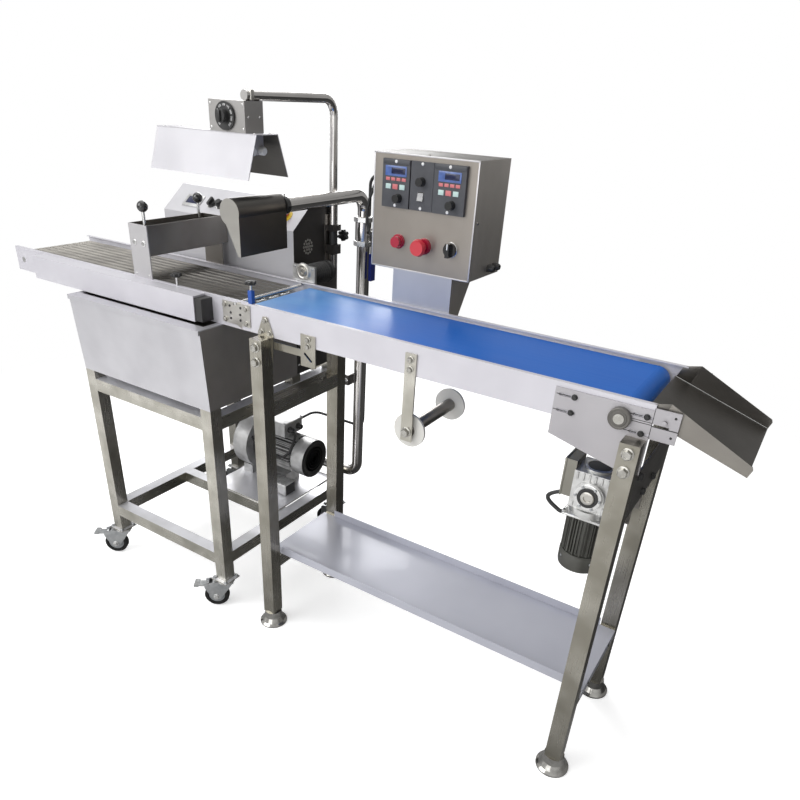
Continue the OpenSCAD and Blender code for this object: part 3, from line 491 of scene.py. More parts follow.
# The belt's pale tint that fades out from its left end is a painted sheen.
BELT = Finish("blue_belt_skin", (0.003, 0.1, 0.43), (0.004, 0.112, 0.46), 0.0, 0.36, 0.04, ALONG_X,
              patch_size=5.0, specular=0.28, haze=0.8, haze_colour=(0.16, 0.37, 0.68), haze_run=(-0.1, 0.32))
GUIDE_BLUE = Finish("blue_guide", (0.01, 0.06, 0.3), (0.015, 0.08, 0.36), 0.0, 0.4, 0.06)
GRIP_BLUE = Finish("dipped_grip", (0.012, 0.02, 0.16), (0.015, 0.028, 0.2), 0.0, 0.3, 0.06, coat=0.3)
BLACK = Finish("matte_black", (0.018, 0.018, 0.018), (0.026, 0.026, 0.026), 0.0, 0.4, 0.1, bump=0.0001,
               patch_size=40.0)
GLOSS_BLACK = Finish("gloss_black", (0.012, 0.012, 0.012), (0.018, 0.018, 0.018), 0.0, 0.16, 0.05, coat=0.5)
CHARCOAL = Finish("charcoal_case", (0.045, 0.047, 0.055), (0.055, 0.057, 0.065), 0.0, 0.42, 0.1,
                  bump=0.00012, patch_size=50.0)
RED = Finish("signal_red", (0.52, 0.03, 0.045), (0.58, 0.04, 0.055), 0.0, 0.3, 0.06, coat=0.4,
             patch_size=30.0)
DEEP_RED = Finish("red_lens", (0.34, 0.008, 0.03), (0.4, 0.012, 0.04), 0.0, 0.2, 0.04, coat=0.6)
YELLOW = Finish("yellow_ring", (0.75, 0.55, 0.04), (0.68, 0.48, 0.03), 0.0, 0.4, 0.06)
TYRE = Finish("tyre_rubber", (0.014, 0.014, 0.014), (0.022, 0.022, 0.021), 0.0, 0.6, 0.12, bump=0.0003,
              patch_size=80.0, specular=0.2)
HUB = Finish("wheel_hub", (0.3, 0.31, 0.32), (0.24, 0.25, 0.26), 0.0, 0.5, 0.1, patch_size=60.0)
SHELF_FILM = Finish("film_on_steel", (0.482, 0.49, 0.55), (0.439, 0.447, 0.507), 0.2, 0.3, 0.05,
                    ALONG_X, patch_size=6.0, coat=0.2)
BOX_GREY = Finish("box_steel", (0.7, 0.66, 0.61), (0.62, 0.585, 0.54), 0.9, 0.34, 0.06, ALONG_Z)
# The box's front tone, also laid on its left faces as painted shade.
BOX_FRONT_AND_SIDE_SHADE = Finish("box_front_and_painted_side_shade", (0.328, 0.299, 0.267), (0.279, 0.254, 0.226), 0.75, 0.34, 0.05, ALONG_Z)
POST_GREY = Finish("post_film", (0.42, 0.43, 0.48), (0.37, 0.38, 0.43), 0.3, 0.36, 0.05, ALONG_Z)
CABLE = Finish("cable_sheath", (0.02, 0.02, 0.02), (0.03, 0.03, 0.03), 0.0, 0.5, 0.08)
ROCKER_GREY = Finish("rocker_grey", (0.3, 0.3, 0.3), (0.26, 0.26, 0.26), 0.0, 0.3, 0.05, coat=0.3)
PALE_KEY = Finish("pale_key", (0.42, 0.56, 0.54), (0.46, 0.6, 0.57), 0.0, 0.35, 0.05)
RED_KEY = Finish("red_key", (0.5, 0.13, 0.14), (0.55, 0.16, 0.17), 0.0, 0.35, 0.05)
WHITE_MARK = Finish("white_mark", (0.8, 0.8, 0.8), (0.74, 0.74, 0.74), 0.0, 0.5, 0.05)
QUARTZ = Finish("quartz_tube", (0.72, 0.66, 0.58), (0.62, 0.56, 0.5), 0.0, 0.2, 0.05, coat=0.6)
DISPLAY_BLUE = Glow("display_blue", (0.07, 0.12, 0.32), 0.25)
DISPLAY_DARK = Glow("display_glass", (0.008, 0.012, 0.05), 0.1)


class Bench:
    """Modelling with Blender's own operators. Each method leaves one object at the origin.

    Attributes:
        weld: Points nearer than this are one, in metres.
        sheet_angle: Edges of a sheet flatter than this are smooth, in degrees.
        rod_angle: The same for a rod.
        hex_angle: The same for a hexagon.
    """

    weld: float = 0.002 * MM
    sheet_angle: float = 30.0
    rod_angle: float = 50.0
    hex_angle: float = 20.0

    def __init__(self, effects: SharedEffects) -> None:
        """Hold the shared groups for the finishes."""
        self.effects = effects

    @staticmethod
    def clear() -> None:
        """Leave edit mode and deselect everything."""
        if bpy.context.object is not None and bpy.context.object.mode != "OBJECT":
            bpy.ops.object.mode_set(mode="OBJECT")
        bpy.ops.object.select_all(action="DESELECT")

    @staticmethod
    def _open(name: str) -> Piece:
        """Name the new primitive, apply its place and select all of it in edit mode.

        Args:
            name: Object name.

        Returns:
            The object, in edit mode.
        """
        piece = bpy.context.object
        piece.name = name
        bpy.ops.object.transform_apply(location=True, rotation=True, scale=True)
        bpy.ops.object.mode_set(mode="EDIT")
        bpy.ops.mesh.select_all(action="SELECT")
        return piece

    def lathe(self, name: str, rings: Rings, sides: int, angle: float = 40.0) -> Piece:
        """Turn a closed shape about Z by extruding a disc ring by ring.

        Args:
            name: Object name.
            rings: Radius and height of each ring, from the bottom up, in metres.
            sides: Sides of the rings.
            angle: Edges flatter than this are smooth, in degrees.

        Returns:
            The object.
        """
        self.clear()
        radius, height = rings[0]
        bpy.ops.mesh.primitive_circle_add(
            vertices=sides, radius=radius, fill_type="NGON", location=(0.0, 0.0, height)
        )
        piece = self._open(name)
        for wide, high in rings[1:]:
            bpy.ops.mesh.extrude_region_move(TRANSFORM_OT_translate={"value": (0.0, 0.0, high - height)})
            share = wide / radius
            bpy.ops.transform.resize(value=(share, share, 1.0), center_override=(0.0, 0.0, high))
            radius, height = wide, high
        return self._close(piece, angle)

    def slab(self, name: str, low: Vector, high: Vector, bevel: float, segments: int = 2) -> Piece:
        """Make a block between two corners with bevelled edges.

        Args:
            name: Object name.
            low: Lowest corner.
            high: Highest corner.
            bevel: Width of the bevel in metres.
            segments: Steps of the bevel.

        Returns:
            The object.
        """
        self.clear()
        bpy.ops.mesh.primitive_cube_add(size=1.0, location=(low + high) / 2)
        bpy.context.object.scale = high - low
        piece = self._open(name)
        bpy.ops.mesh.bevel(offset=bevel, segments=segments, affect="EDGES")
        return self._close(piece, self.sheet_angle)

    def plate(self, name: str, outline: Sequence[Vector], sweep: Vector, bevel: float) -> Piece:
        """Cut a sheet to a flat outline and thicken it.

        Args:
            name: Object name.
            outline: Corners of the outline in order.
            sweep: Direction and length of the thickness in metres.
            bevel: Width of the bevel in metres.

        Returns:
            The object.
        """
        self.clear()
        bpy.ops.mesh.primitive_circle_add(vertices=len(outline), radius=1.0, fill_type="NGON")
        for vertex, corner in zip(bpy.context.object.data.vertices, outline):
            vertex.co = corner
        piece = self._open(name)
        bpy.ops.mesh.extrude_region_move(TRANSFORM_OT_translate={"value": sweep})
        bpy.ops.mesh.select_all(action="SELECT")
        bpy.ops.mesh.bevel(offset=bevel, segments=2, affect="EDGES")
        return self._close(piece, self.sheet_angle)

    def _close(self, piece: Piece, angle: float) -> Piece:
        """Merge doubles, turn the faces outwards and smooth the flat edges.

        Args:
            piece: Object in edit mode.
            angle: Edges flatter than this are smooth, in degrees.

        Returns:
            The object, in object mode.
        """
        bpy.ops.mesh.select_all(action="SELECT")
        bpy.ops.mesh.remove_doubles(threshold=self.weld)
        bpy.ops.mesh.normals_make_consistent(inside=False)
        bpy.ops.object.mode_set(mode="OBJECT")
        bpy.ops.object.shade_smooth_by_angle(angle=math.radians(angle))
        return piece

    def rod(self, name: str, points: Sequence[Vector], radius: float, sides: int) -> Piece:
        """Run a round rod along points.

        Args:
            name: Object name.
            points: Places that the rod passes through.
            radius: Radius of the rod in metres.
            sides: Steps of a quarter of its outline.

        Returns:
            The object.
        """
        self.clear()
        path = bpy.data.curves.new(name, "CURVE")
        path.dimensions = "3D"
        path.bevel_depth = radius
        path.bevel_resolution = max(sides - 2, 0)
        path.use_fill_caps = True
        line = path.splines.new("POLY")
        line.points.add(len(points) - 1)
        for point, place in zip(line.points, points):
            point.co = (*place, 1.0)
        line.use_smooth = True
        piece = bpy.data.objects.new(name, path)
        bpy.context.scene.collection.objects.link(piece)
        piece.select_set(True)
        bpy.context.view_layer.objects.active = piece
        bpy.ops.object.convert(target="MESH")
        piece = bpy.context.object
        bpy.ops.object.mode_set(mode="EDIT")
        return self._close(piece, self.rod_angle)

    def join(self, name: str, pieces: Sequence[Piece]) -> Piece:
        """Join several objects into one.

        Args:
            name: Name of the result.
            pieces: Objects to join.

        Returns:
            The joined object.
        """
        self.clear()
        for piece in pieces:
            piece.select_set(True)
        bpy.context.view_layer.objects.active = pieces[0]
        if len(pieces) > 1:
            bpy.ops.object.join()
        joined = bpy.context.object
        joined.name = name
        return joined

    def repeat(self, name: str, master: Piece, moves: Sequence[Matrix]) -> Piece:
        """Copy a master piece by several moves and join the copies.

        Args:
            name: Name of the result.
            master: Piece to copy. It is used up.
            moves: Move of each copy.

        Returns:
            The joined copies.
        """
        copies = []
        for move in moves:
            copy = master.copy()
            copy.data = master.data.copy()
            copy.data.transform(move)
            bpy.context.scene.collection.objects.link(copy)
            copies.append(copy)
        bpy.data.objects.remove(master)
        return self.join(name, copies)

    def stamp(self, name: str, master: Piece, spots: Sequence[Spot]) -> Piece:
        """Copy a master piece to several places and join the copies."""
        return self.repeat(name, master, [self._stand(*spot) for spot in spots])

    def spin(self, name: str, master: Piece, centre: Vector, axis: str, count: int) -> Piece:
        """Copy a master piece round an axis and join the copies.

        Args:
            name: Name of the result.
            master: Piece in its first place. It is used up.
            centre: A point of the axis.
            axis: X, Y or Z.
            count: How many pieces stand in the ring.

        Returns:
            The joined copies.
        """
        there, back = Matrix.Translation(centre), Matrix.Translation(-centre)
        moves = [there @ Matrix.Rotation(math.tau * step / count, 4, axis) @ back for step in range(count)]
        return self.repeat(name, master, moves)

    @staticmethod
    def _stand(place: Vector, outward: Vector) -> Matrix:
        """Find the move of a piece that points along Z to a place where it points outwards."""
        return Matrix.Translation(place) @ UP.rotation_difference(outward).to_matrix().to_4x4()

    def lay(self, piece: Piece, place: Vector, outward: Vector) -> Piece:
        """Put a piece that points along Z at a place, pointing outwards, in its mesh."""
        piece.data.transform(self._stand(place, outward))
        return piece

    def bolt(self, across: float) -> Piece:
        """Model a hexagon bolt head on its washer.

        Args:
            across: Width of the head in metres.

        Returns:
            The bolt, pointing along Z.
        """
        radius = across * 0.577
        below = -0.2 * MM / radius
        rings = ((1.25, below), (1.25, 0.12), (1.15, 0.18))
        washer = self.lathe("washer", scaled(rings, radius, radius), 24)
        rings = ((1.0, 0.17), (1.0, 0.95), (0.86, 1.08), (0.5, 1.08), (0.47, 1.02))
        head = self.lathe("head", scaled(rings, radius, radius), 6, self.hex_angle)
        return self.join("bolt", [head, washer])

    def screw(self, radius: float) -> Piece:
        """Model a domed screw head with a socket."""
        rings = ((1.0, -0.05), (1.0, 0.12), (0.9, 0.34), (0.66, 0.5), (0.42, 0.55), (0.4, 0.25), (0.2, 0.22))
        return self.lathe("screw", scaled(rings, radius, radius), 16)

    def knob(self, name: str, radius: float, height: float) -> Piece:
        """Model a lobed clamp knob.

        Args:
            name: Object name.
            radius: Radius of the lobes' ring in metres.
            height: Height of the knob in metres.

        Returns:
            The knob, pointing along Z.
        """
        rings = ((0.62, 0.0), (0.98, 0.18), (1.0, 0.6), (0.9, 0.85), (0.5, 1.0))
        body = self.lathe(name, scaled(rings, radius, height), 24)
        rings = ((0.22, 0.15), (0.3, 0.3), (0.3, 0.65), (0.2, 0.85))
        lobe = self.lathe("lobe", scaled(rings, radius, height), 12)
        lobe.data.transform(Matrix.Translation(RIGHT * radius))
        return self.join(name, [body, self.spin("lobes", lobe, Vector(), "Z", 6)])

    def gland(self, radius: float) -> Piece:
        """Model a cable gland with its hexagon and dome nut.

        Args:
            radius: Radius of the hexagon in metres.

        Returns:
            The gland, pointing along Z.
        """
        rings = ((1.0, -0.02), (1.0, 0.5), (0.9, 0.6))
        foot = self.lathe("foot", scaled(rings, radius, radius), 6, self.hex_angle)
        rings = ((0.86, 0.55), (0.86, 1.3), (0.6, 1.8), (0.4, 1.8), (0.38, 1.5))
        return self.join("gland", [foot, self.lathe("dome", scaled(rings, radius, radius), 20)])

    def dress(self, piece: Piece, finish: Surface) -> None:
        """Give a piece one finish all over."""
        piece.data.materials.clear()
        self.dress_facing(piece, finish, lambda c, n: True)

    def dress_facing(self, piece: Piece, finish: Surface, test: Callable[[Vector, Vector], bool]) -> None:
        """Give a finish to the faces whose middles and directions pass a test.

        Args:
            piece: Piece or solid.
            finish: The finish.
            test: Says of a face's middle and outward direction whether it takes the finish.
        """
        piece.data.materials.append(finish.material(self.effects))
        index = len(piece.data.materials) - 1
        for face in piece.data.polygons:
            if test(face.center, face.normal):
                face.material_index = index


@dataclass(frozen=True)
class Datum:
    """Left edge of the conveyor's front left leg on the belt's middle line, from which drawn sizes run.

    Attributes:
        corner: Lowest corner of the conveyor's legs in the shared frame.
        inset: Drawn place of that corner in millimetres.
    """

    corner: Vector
    inset: Pair = (-21.0, -193.0)

    def at(self, x: float, y: float, z: float) -> Vector:
        """Turn a drawn place into one in the shared frame."""
        return self.corner + Vector(((x - self.inset[0]) * MM, (y - self.inset[1]) * MM, z * MM))


@dataclass
class SubAssembly:
    """Base of the sub-assemblies.

    A size written with MM is in metres, and any other is in drawn millimetres. A face lies that far in front
    of and behind the belt's middle line. A field that isn't listed is the shape, size or count of the piece
    that it is named for.

    Attributes:
        bench: Modelling bench.
        nodes: The solids by name.
        datum: Origin of the drawn sizes.
    """

    bench: Bench
    nodes: dict[str, Piece]
    datum: Datum

    def coat(self, finish: Surface, *names: str) -> None:
        """Give solids one finish."""
        for name in names:
            self.bench.dress(self.nodes[name], finish)

    def coat_where(self, name: str, finish: Surface, test: Callable[[Vector], bool]) -> None:
        """Give a second finish to the faces of a solid whose middles pass a test."""
        self.bench.dress_facing(self.nodes[name], finish, lambda c, n: test(c))

    def coat_inside(self, name: str, finish: Surface, box: Box) -> None:
        """Give a second finish to the faces of a solid whose middles lie in a drawn box."""
        low, high = (self.datum.at(*corner) for corner in box)
        self.coat_where(name, finish, lambda c: all(low[i] <= c[i] <= high[i] for i in range(3)))

    def mount(self, piece: Piece, finish: Surface, slot: str, body: str = "machine") -> None:
        """Finish a new piece and set it on its body.

        Args:
            piece: New piece.
            finish: Its finish.
            slot: Material slot of the record; not used.
            body: Body that carries it.
        """
        self.bench.dress(piece, finish)
        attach(piece, body)
        LOG.info("piece %s on %s", piece.name, body)

    def block(self, name: str, box: Box, bevel: float, segments: int = 2) -> Piece:
        """Make a bevelled block between two drawn corners."""
        low, high = (self.datum.at(*corner) for corner in box)
        return self.bench.slab(name, low, high, bevel, segments)

    def turned(self, name: str, rings: Rings, sides: int, spot: Spot) -> Piece:
        """Turn a piece and lay it at its spot."""
        return self.bench.lay(self.bench.lathe(name, scaled(rings), sides), *spot)

    def row(self, name: str, rings: Rings, sides: int, spots: Sequence[Spot]) -> Piece:
        """Turn a piece and copy it to each spot."""
        return self.bench.stamp(name, self.bench.lathe("one_of_row", scaled(rings), sides), spots)

    def bolts(
        self, name: str, across: float, spots: Sequence[Spot], finish: Finish, body: str = "machine"
    ) -> None:
        """Set a row of hexagon bolts."""
        self.mount(self.bench.stamp(name, self.bench.bolt(across), spots), finish, "zinc", body)

    def screws(
        self, name: str, radius: float, spots: Sequence[Spot], finish: Finish, body: str = "machine"
    ) -> None:
        """Set a row of domed screws."""
        self.mount(self.bench.stamp(name, self.bench.screw(radius), spots), finish, "zinc", body)

    def spot(self, x: float, y: float, z: float, outward: Vector) -> Spot:
        """Give a drawn place with its outward direction."""
        return self.datum.at(x, y, z), outward

    def grid(
        self, xs: Sequence[float], ys: Sequence[float], zs: Sequence[float], outward: Vector
    ) -> list[Spot]:
        """Give every drawn place of a grid."""
        return [self.spot(x, y, z, outward) for x in xs for y in ys for z in zs]

    def pairs(self, face: float, places: Sequence[Pair]) -> list[Spot]:
        """Give the same places in X and Z on the front and the rear face of the machine."""
        sides = ((-face, FRONT), (face, REAR))
        return [self.spot(x, y, z, outward) for x, z in places for y, outward in sides]

    def circle(
        self, centre: Place, reach: float, count: int, outward: Vector, start: float = 0.0
    ) -> list[Spot]:
        """Space places evenly on a circle.

        Args:
            centre: Middle of the circle.
            reach: Radius of the circle in millimetres.
            count: How many places.
            outward: Direction that the circle faces, along X, Y or Z.
            start: Angle of the first place in degrees.

        Returns:
            The spots.
        """
        first, second = (axis for axis in range(3) if abs(outward[axis]) < FLAT)
        spots = []
        for step in range(count):
            angle = math.radians(start) + math.tau * step / count
            place = list(centre)
            place[first] += reach * math.cos(angle)
            place[second] += reach * math.sin(angle)
            spots.append(self.spot(*place, outward))
        return spots

    @staticmethod
    def joint_of(child: str) -> dict:
        """Find the joint that carries a body."""
        return next(joint for joint in FRAME["joints"] if joint["child"] == child)


@dataclass
class Cart(SubAssembly):
    """Tube cart with four casters.

    Attributes:
        bars: Half of the stretch where tubes run along X.
        sides: Half of the stretch where tubes run along Y.
        corner: From the middle along X to the tubes along Y.
        plate_reach: From a caster's middle to its plate bolts.
        plate_top: Top of the caster plates above the frame's lowest face.
        cheek: From a wheel's middle to its fork's outside.
        bearing_drop: From a fork's top to its bearing.
    """

    bars: float = 120 * MM
    sides: float = 180 * MM
    corner: float = 200 * MM
    plate_reach: float = 23 * MM
    plate_top: float = 15.9 * MM
    bolt_across: float = 9 * MM
    axle_across: float = 13 * MM
    hub: float = 24.4 * MM
    cheek: float = 16.4 * MM
    bearing: Rings = ((26.2, 0), (28, 1.5), (28, 4), (26.2, 5.5))
    bearing_drop: float = 8 * MM

    def build(self) -> None:
        """Finish the solids and add bolts, axle nuts and bearing rings."""
        self.coat(TUBE_Z, "cart_frame")
        low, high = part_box("cart_frame")
        middle = (low + high) / 2
        self.coat_where("cart_frame", TUBE_X, lambda c: abs(c.x - middle.x) < self.bars)
        self.coat_where(
            "cart_frame", TUBE_Y,
            lambda c: abs(c.y - middle.y) < self.sides and abs(c.x - middle.x) > self.corner,
        )
        # Faces that look up take the lighter copy of the tube steel, a painted highlight.
        self.bench.dress_facing(self.nodes["cart_frame"], TUBE_TOP_PAINTED_HIGHLIGHT, lambda c, n: n.z > FLAT)
        for key in ("fl", "fr", "rl", "rr"):
            self._caster(key)

    def _caster(self, key: str) -> None:
        """Finish one caster and add its nuts and bearing ring.

        Args:
            key: Corner of the cart.
        """
        fork, wheel, pedal = f"caster_fork_{key}", f"caster_wheel_{key}", f"brake_pedal_{key}"
        self.coat(ZINC, fork)
        self.coat(TYRE, wheel)
        if pedal in self.nodes:
            self.coat(ZINC, pedal)
        low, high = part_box(wheel)
        middle = (low + high) / 2
        axle = Vector(self.joint_of(wheel)["axis"]).normalized()
        self.coat_where(wheel, HUB, lambda c: (c - middle - (c - middle).dot(axle) * axle).length < self.hub)
        nuts = [(middle + axle * self.cheek, axle), (middle - axle * self.cheek, -axle)]
        self.bolts(f"axle_nuts_{key}", self.axle_across, nuts, BRIGHT, fork)
        pivot = Vector(self.joint_of(fork)["pos_m"])
        pivot.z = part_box("cart_frame")[0].z + self.plate_top
        reach = (-self.plate_reach, self.plate_reach)
        spots = [(pivot + Vector((x, y, 0.0)), UP) for x in reach for y in reach]
        self.bolts(f"plate_bolts_{key}", self.bolt_across, spots, ZINC)
        pivot.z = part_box(fork)[1].z - self.bearing_drop
        ring = self.turned(f"bearing_ring_{key}", self.bearing, 40, (pivot, UP))
        self.mount(ring, BRIGHT, "zinc", fork)


@dataclass
class Tank(SubAssembly):
    """Tank casing, pan and pump.

    Attributes:
        wall: Thickness of the right wall.
        pump: Middle of the pump's flange.
    """

    rim: float = 30 * MM
    wall: float = 1 * MM
    pump: Place = (-413, 102, 747.9)
    pump_reach: float = 30.0
    pump_across: float = 8 * MM

    def build(self) -> None:
        """Finish the solids and add the pump's flange bolts."""
        self.coat(SATIN_X, "tank_casing", "tank_pan")
        self.coat(BRIGHT, "chocolate_pump")
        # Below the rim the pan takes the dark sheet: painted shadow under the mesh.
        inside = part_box("tank_pan")[1].z - self.rim
        self.coat_where("tank_pan", DARK_X, lambda c: c.z < inside)
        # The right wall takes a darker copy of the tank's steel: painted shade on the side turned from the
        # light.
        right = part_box("tank_casing")[1].x - self.wall
        self.coat_where("tank_casing", SIDE_STEEL_PAINTED_SHADE, lambda c: c.x > right)
        self.bolts("pump_bolts", self.pump_across, self.circle(self.pump, self.pump_reach, 6, UP, 30.0), ZINC)


@dataclass
class Cabinet(SubAssembly):
    """Console behind the tank.

    Attributes:
        wall: X of the right wall.
        back: Y of the rear wall.
        plate_gap: From the selector to the display plate.
        plate: Display plate about its middle, along and out of the panel.
        window: Display window in the same way.
        vent: Middle of the vent.
        vent_rows: Holes in each ring of the vent and their reach.
        louvre_x: Left ends of the louvres.
        louvre_foot: Z of the lowest louvre.
        louvre_out: Y of a louvre's inner and outer edge.
    """

    wall: float = -134.0
    back: float = 358.0
    stop_ring: Rings = ((24, -0.3), (24, 1.6), (21.6, 2), (9, 2))
    panel_rim: Rings = ((16.5, -0.2), (16.5, 1.4), (14.8, 1.8), (13.4, 1.2))
    plate_gap: float = 76 * MM
    plate: Box = ((-34, -22, -0.3), (34, 22, 4))
    window: Box = ((-24, -12, 3.8), (24, 14, 5))
    guide: Box = ((-134.1, 296, 978), (-132.6, 344, 1104))
    vent: Place = (-134, 220, 1026)
    vent_rows: tuple[tuple[int, float], ...] = ((6, 9), (12, 18))
    vent_rim: Rings = ((3.6, -0.2), (3.5, 0.5), (2.9, 0.6), (2.6, 0.1))
    louvre_x: Pair = (-560, -330)
    louvre_foot: float = 800.0
    louvre_pitch: float = 26.0
    louvre_count: int = 7
    louvre_tall: float = 14.0
    louvre_long: float = 112 * MM
    louvre_out: Pair = (357.8, 363)

    def build(self) -> None:
        """Finish the solids and add what is on the panel and the walls."""
        self.coat(CABINET_WHITE, "cabinet")
        # The right wall takes a near black copy of the cabinet's sheet: painted shade on the side turned from
        # the light.
        side = self.datum.at(self.wall, 0.0, 0.0).x - 0.5 * MM
        self.coat_where("cabinet", SIDE_SHADE_NEAR_BLACK, lambda c: c.x > side)
        self.coat(BLACK, "cabinet_selector", "cabinet_dial")
        self.coat(RED, "cabinet_stop")
        self._panel()
        self._walls()
        self._vents()

    def _panel(self) -> None:
        """Add the stop button's ring, the display and the rims round selector and dial."""
        selector, dial = (self.joint_of(name) for name in ("cabinet_selector", "cabinet_dial"))
        normal = Vector(dial["axis"])
        low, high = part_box("cabinet_stop")
        stop = Vector(dial["pos_m"])
        stop.x = (low.x + high.x) / 2
        self.mount(self.turned("stop_ring", self.stop_ring, 32, (stop, normal)), YELLOW, "white_panel")
        start = Vector(selector["pos_m"]) - RIGHT * self.plate_gap
        for name, box, bevel, finish, slot in (
            ("display_plate", self.plate, 1.5 * MM, CAST, "white_panel"),
            ("display_window", self.window, 0.5 * MM, DISPLAY_DARK, "black_plastic"),
        ):
            tile = self.bench.slab(name, Vector(box[0]) * MM, Vector(box[1]) * MM, bevel)
            self.mount(self.bench.lay(tile, start, normal), finish, slot)
        spots = [(Vector(joint["pos_m"]) - normal * 0.2 * MM, normal) for joint in (selector, dial)]
        self.mount(self.row("panel_rings", self.panel_rim, 32, spots), BRIGHT, "white_panel")

    def _walls(self) -> None:
        """Add the pole's guide and the screws of both walls."""
        self.mount(self.block("pole_guide", self.guide, 0.5 * MM), DARK_Z, "dark_steel")
        spots = self.grid((self.wall,), (172, 344), (690, 880), RIGHT)
        spots += self.grid((-620, -389, -158), (self.back,), (690, 1110), REAR)
        self.screws("cabinet_screws", 4 * MM, spots, BRIGHT)

    def _vents(self) -> None:
        """Set two columns of louvres on the rear wall and rims round the vent's holes."""
        louvres = []
        inner, outer = self.louvre_out
        for x in self.louvre_x:
            for step in range(self.louvre_count):
                z = self.louvre_foot + self.louvre_pitch * step
                corners = ((x, inner, z), (x, outer, z), (x, inner, z + self.louvre_tall))
                outline = [self.datum.at(*corner) for corner in corners]
                louvres.append(self.bench.plate("louvre", outline, RIGHT * self.louvre_long, 0.5 * MM))
        self.mount(self.bench.join("rear_louvres", louvres), CABINET_WHITE, "white_panel")
        holes = [self.spot(*self.vent, RIGHT)]
        for count, reach in self.vent_rows:
            holes += self.circle(self.vent, reach, count, RIGHT)
        self.mount(self.row("vent_rims", self.vent_rim, 16, holes), BRACKET, "stainless")


@dataclass
class MeshConveyor(SubAssembly):
    """Wire mesh conveyor over the tank.

    Attributes:
        pitch: Distance between cross wires.
        strands: Lanes across the belt.
        radius: Radius of the mesh's turns, at the wire's middle.
        bend: Depth of a wire's bends as a share of the pitch.
        edge: From the middle of a bend to its corner.
        face: Outside of the joint plates.
        knobs: Name, foot and stem height of each clamp knob.
        knob_size: Radius and height of a clamp knob.
        motor_face: Middle of the detailer motor's front.
        motor_foot: Place of the motor's first rib.
    """

    pitch: float = 4.0 * MM
    strands: int = 18
    wire: float = 0.8 * MM
    radius: float = 24.2 * MM
    bend: float = 0.62
    edge: float = 1.6 * MM
    cover_end: Box = ((-182.95, -175, 880), (-150, -131, 955))
    plates: tuple[Box, ...] = (
        ((-122, -134.5, 890), (-29, -131.05, 950)), ((-122, 131.05, 890), (-29, 134.5, 950))
    )
    gearbox: Box = ((-130, 128, 880), (-30, 142.5, 1010))
    face: float = 134.0
    knobs: tuple[tuple[str, Place, float], ...] = (
        ("rail_knob", (-289, -126, 953), 22), ("guide_knob", (-31, -125, 984), 14)
    )
    knob_size: float = 11 * MM
    guide: Box = ((-37, -131, 952.8), (-24, -119, 985))
    motor_face: Place = (-80, 131.1, 980)
    motor_rings: Rings = (
        (21, -0.2), (21, 2), (17, 3), (15, 2), (11, 2), (10, 5), (5, 5), (4.6, 3)
    )
    motor_foot: Place = (-80, 152, 966)
    rib: Rings = ((28.3, 0), (29.4, 0.8), (29.4, 2.2), (28.3, 3))
    rib_pitch: float = 9.0

    def build(self) -> None:
        """Finish the solids, weave the mesh and add bolts, clamp knobs and the motor's details."""
        self.coat(RAIL_WHITE, "mesh_rails")
        self.coat_inside("mesh_rails", BLACK, self.cover_end)
        for plate in self.plates:
            self.coat_inside("mesh_rails", BRACKET, plate)
        self.coat(BRIGHT, "mesh_drive_shaft", "mesh_tail_shaft", "detailer_rod")
        self.coat(BLACK, "detailer_motor")
        self.coat_inside("detailer_motor", CAST, self.gearbox)
        self._weave()
        self._joint_bolts()
        self._knobs()
        self._motor()

    def _weave(self) -> None:
        """Weave the mesh from cross wires with offset bends, all round the two shafts."""
        drive, tail = (Vector(self.joint_of(f"mesh_{end}_shaft")["pos_m"]) for end in ("drive", "tail"))
        low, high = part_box("mesh_belt")
        total = 2 * (drive.x - tail.x + math.pi * self.radius)
        count = int(total / self.pitch)
        lane = (high.y - low.y - 2 * self.wire) / self.strands
        deep = self.pitch * self.bend
        points = []
        for j in range(self.strands + 1):
            y = low.y + self.wire + lane * j
            if j > 0:
                points.append(Vector((deep if (j - 1) % 2 else 0.0, y - self.edge, 0.0)))
            if j < self.strands:
                points.append(Vector((deep if j % 2 else 0.0, y + self.edge, 0.0)))
        master = self.bench.rod("cross_wire", points, self.wire, sides=2)
        moves = [self._on_loop(i * total / count, drive, tail) for i in range(count)]
        mesh = self.bench.repeat("wire_mesh", master, moves)
        self.mount(mesh, WIRE, "mesh_wire")
        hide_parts("mesh_belt")

    def _on_loop(self, run: float, drive: Vector, tail: Vector) -> Matrix:
        """Find a wire's place on the loop.

        Args:
            run: Distance along the loop.
            drive: Middle of the drive shaft.
            tail: Middle of the tail shaft.

        Returns:
            The wire's place and turn.
        """
        straight, turn = drive.x - tail.x, math.pi * self.radius
        if run < straight:
            return Matrix.Translation((tail.x + run, 0.0, tail.z + self.radius))
        run -= straight
        if run < turn:
            return self._round(drive, run / self.radius)
        run -= turn
        if run < straight:
            under = Matrix.Translation((drive.x - run, 0.0, drive.z - self.radius))
            return under @ Matrix.Rotation(math.pi, 4, "Y")
        return self._round(tail, math.pi + (run - straight) / self.radius)

    def _round(self, shaft: Vector, angle: float) -> Matrix:
        """Find a wire's place on the turn round a shaft, at an angle from the top in radians."""
        spot = Vector((shaft.x, 0.0, shaft.z)) + Vector((math.sin(angle), 0.0, math.cos(angle))) * self.radius
        return Matrix.Translation(spot) @ Matrix.Rotation(angle, 4, "Y")

    def _joint_bolts(self) -> None:
        """Bolt the joint plates to the rails."""
        corners = ((-112, 938), (-42, 938), (-112, 902), (-42, 902))
        self.bolts("joint_bolts", 10 * MM, self.pairs(self.face, corners), BOLT_STEEL)
        small = self.grid((-94, -62), (-self.face,), (921, 907), FRONT)
        small += self.grid((-96, -60), (-self.face,), (938,), FRONT)
        self.screws("joint_screws", 3.4 * MM, small, BLACK)

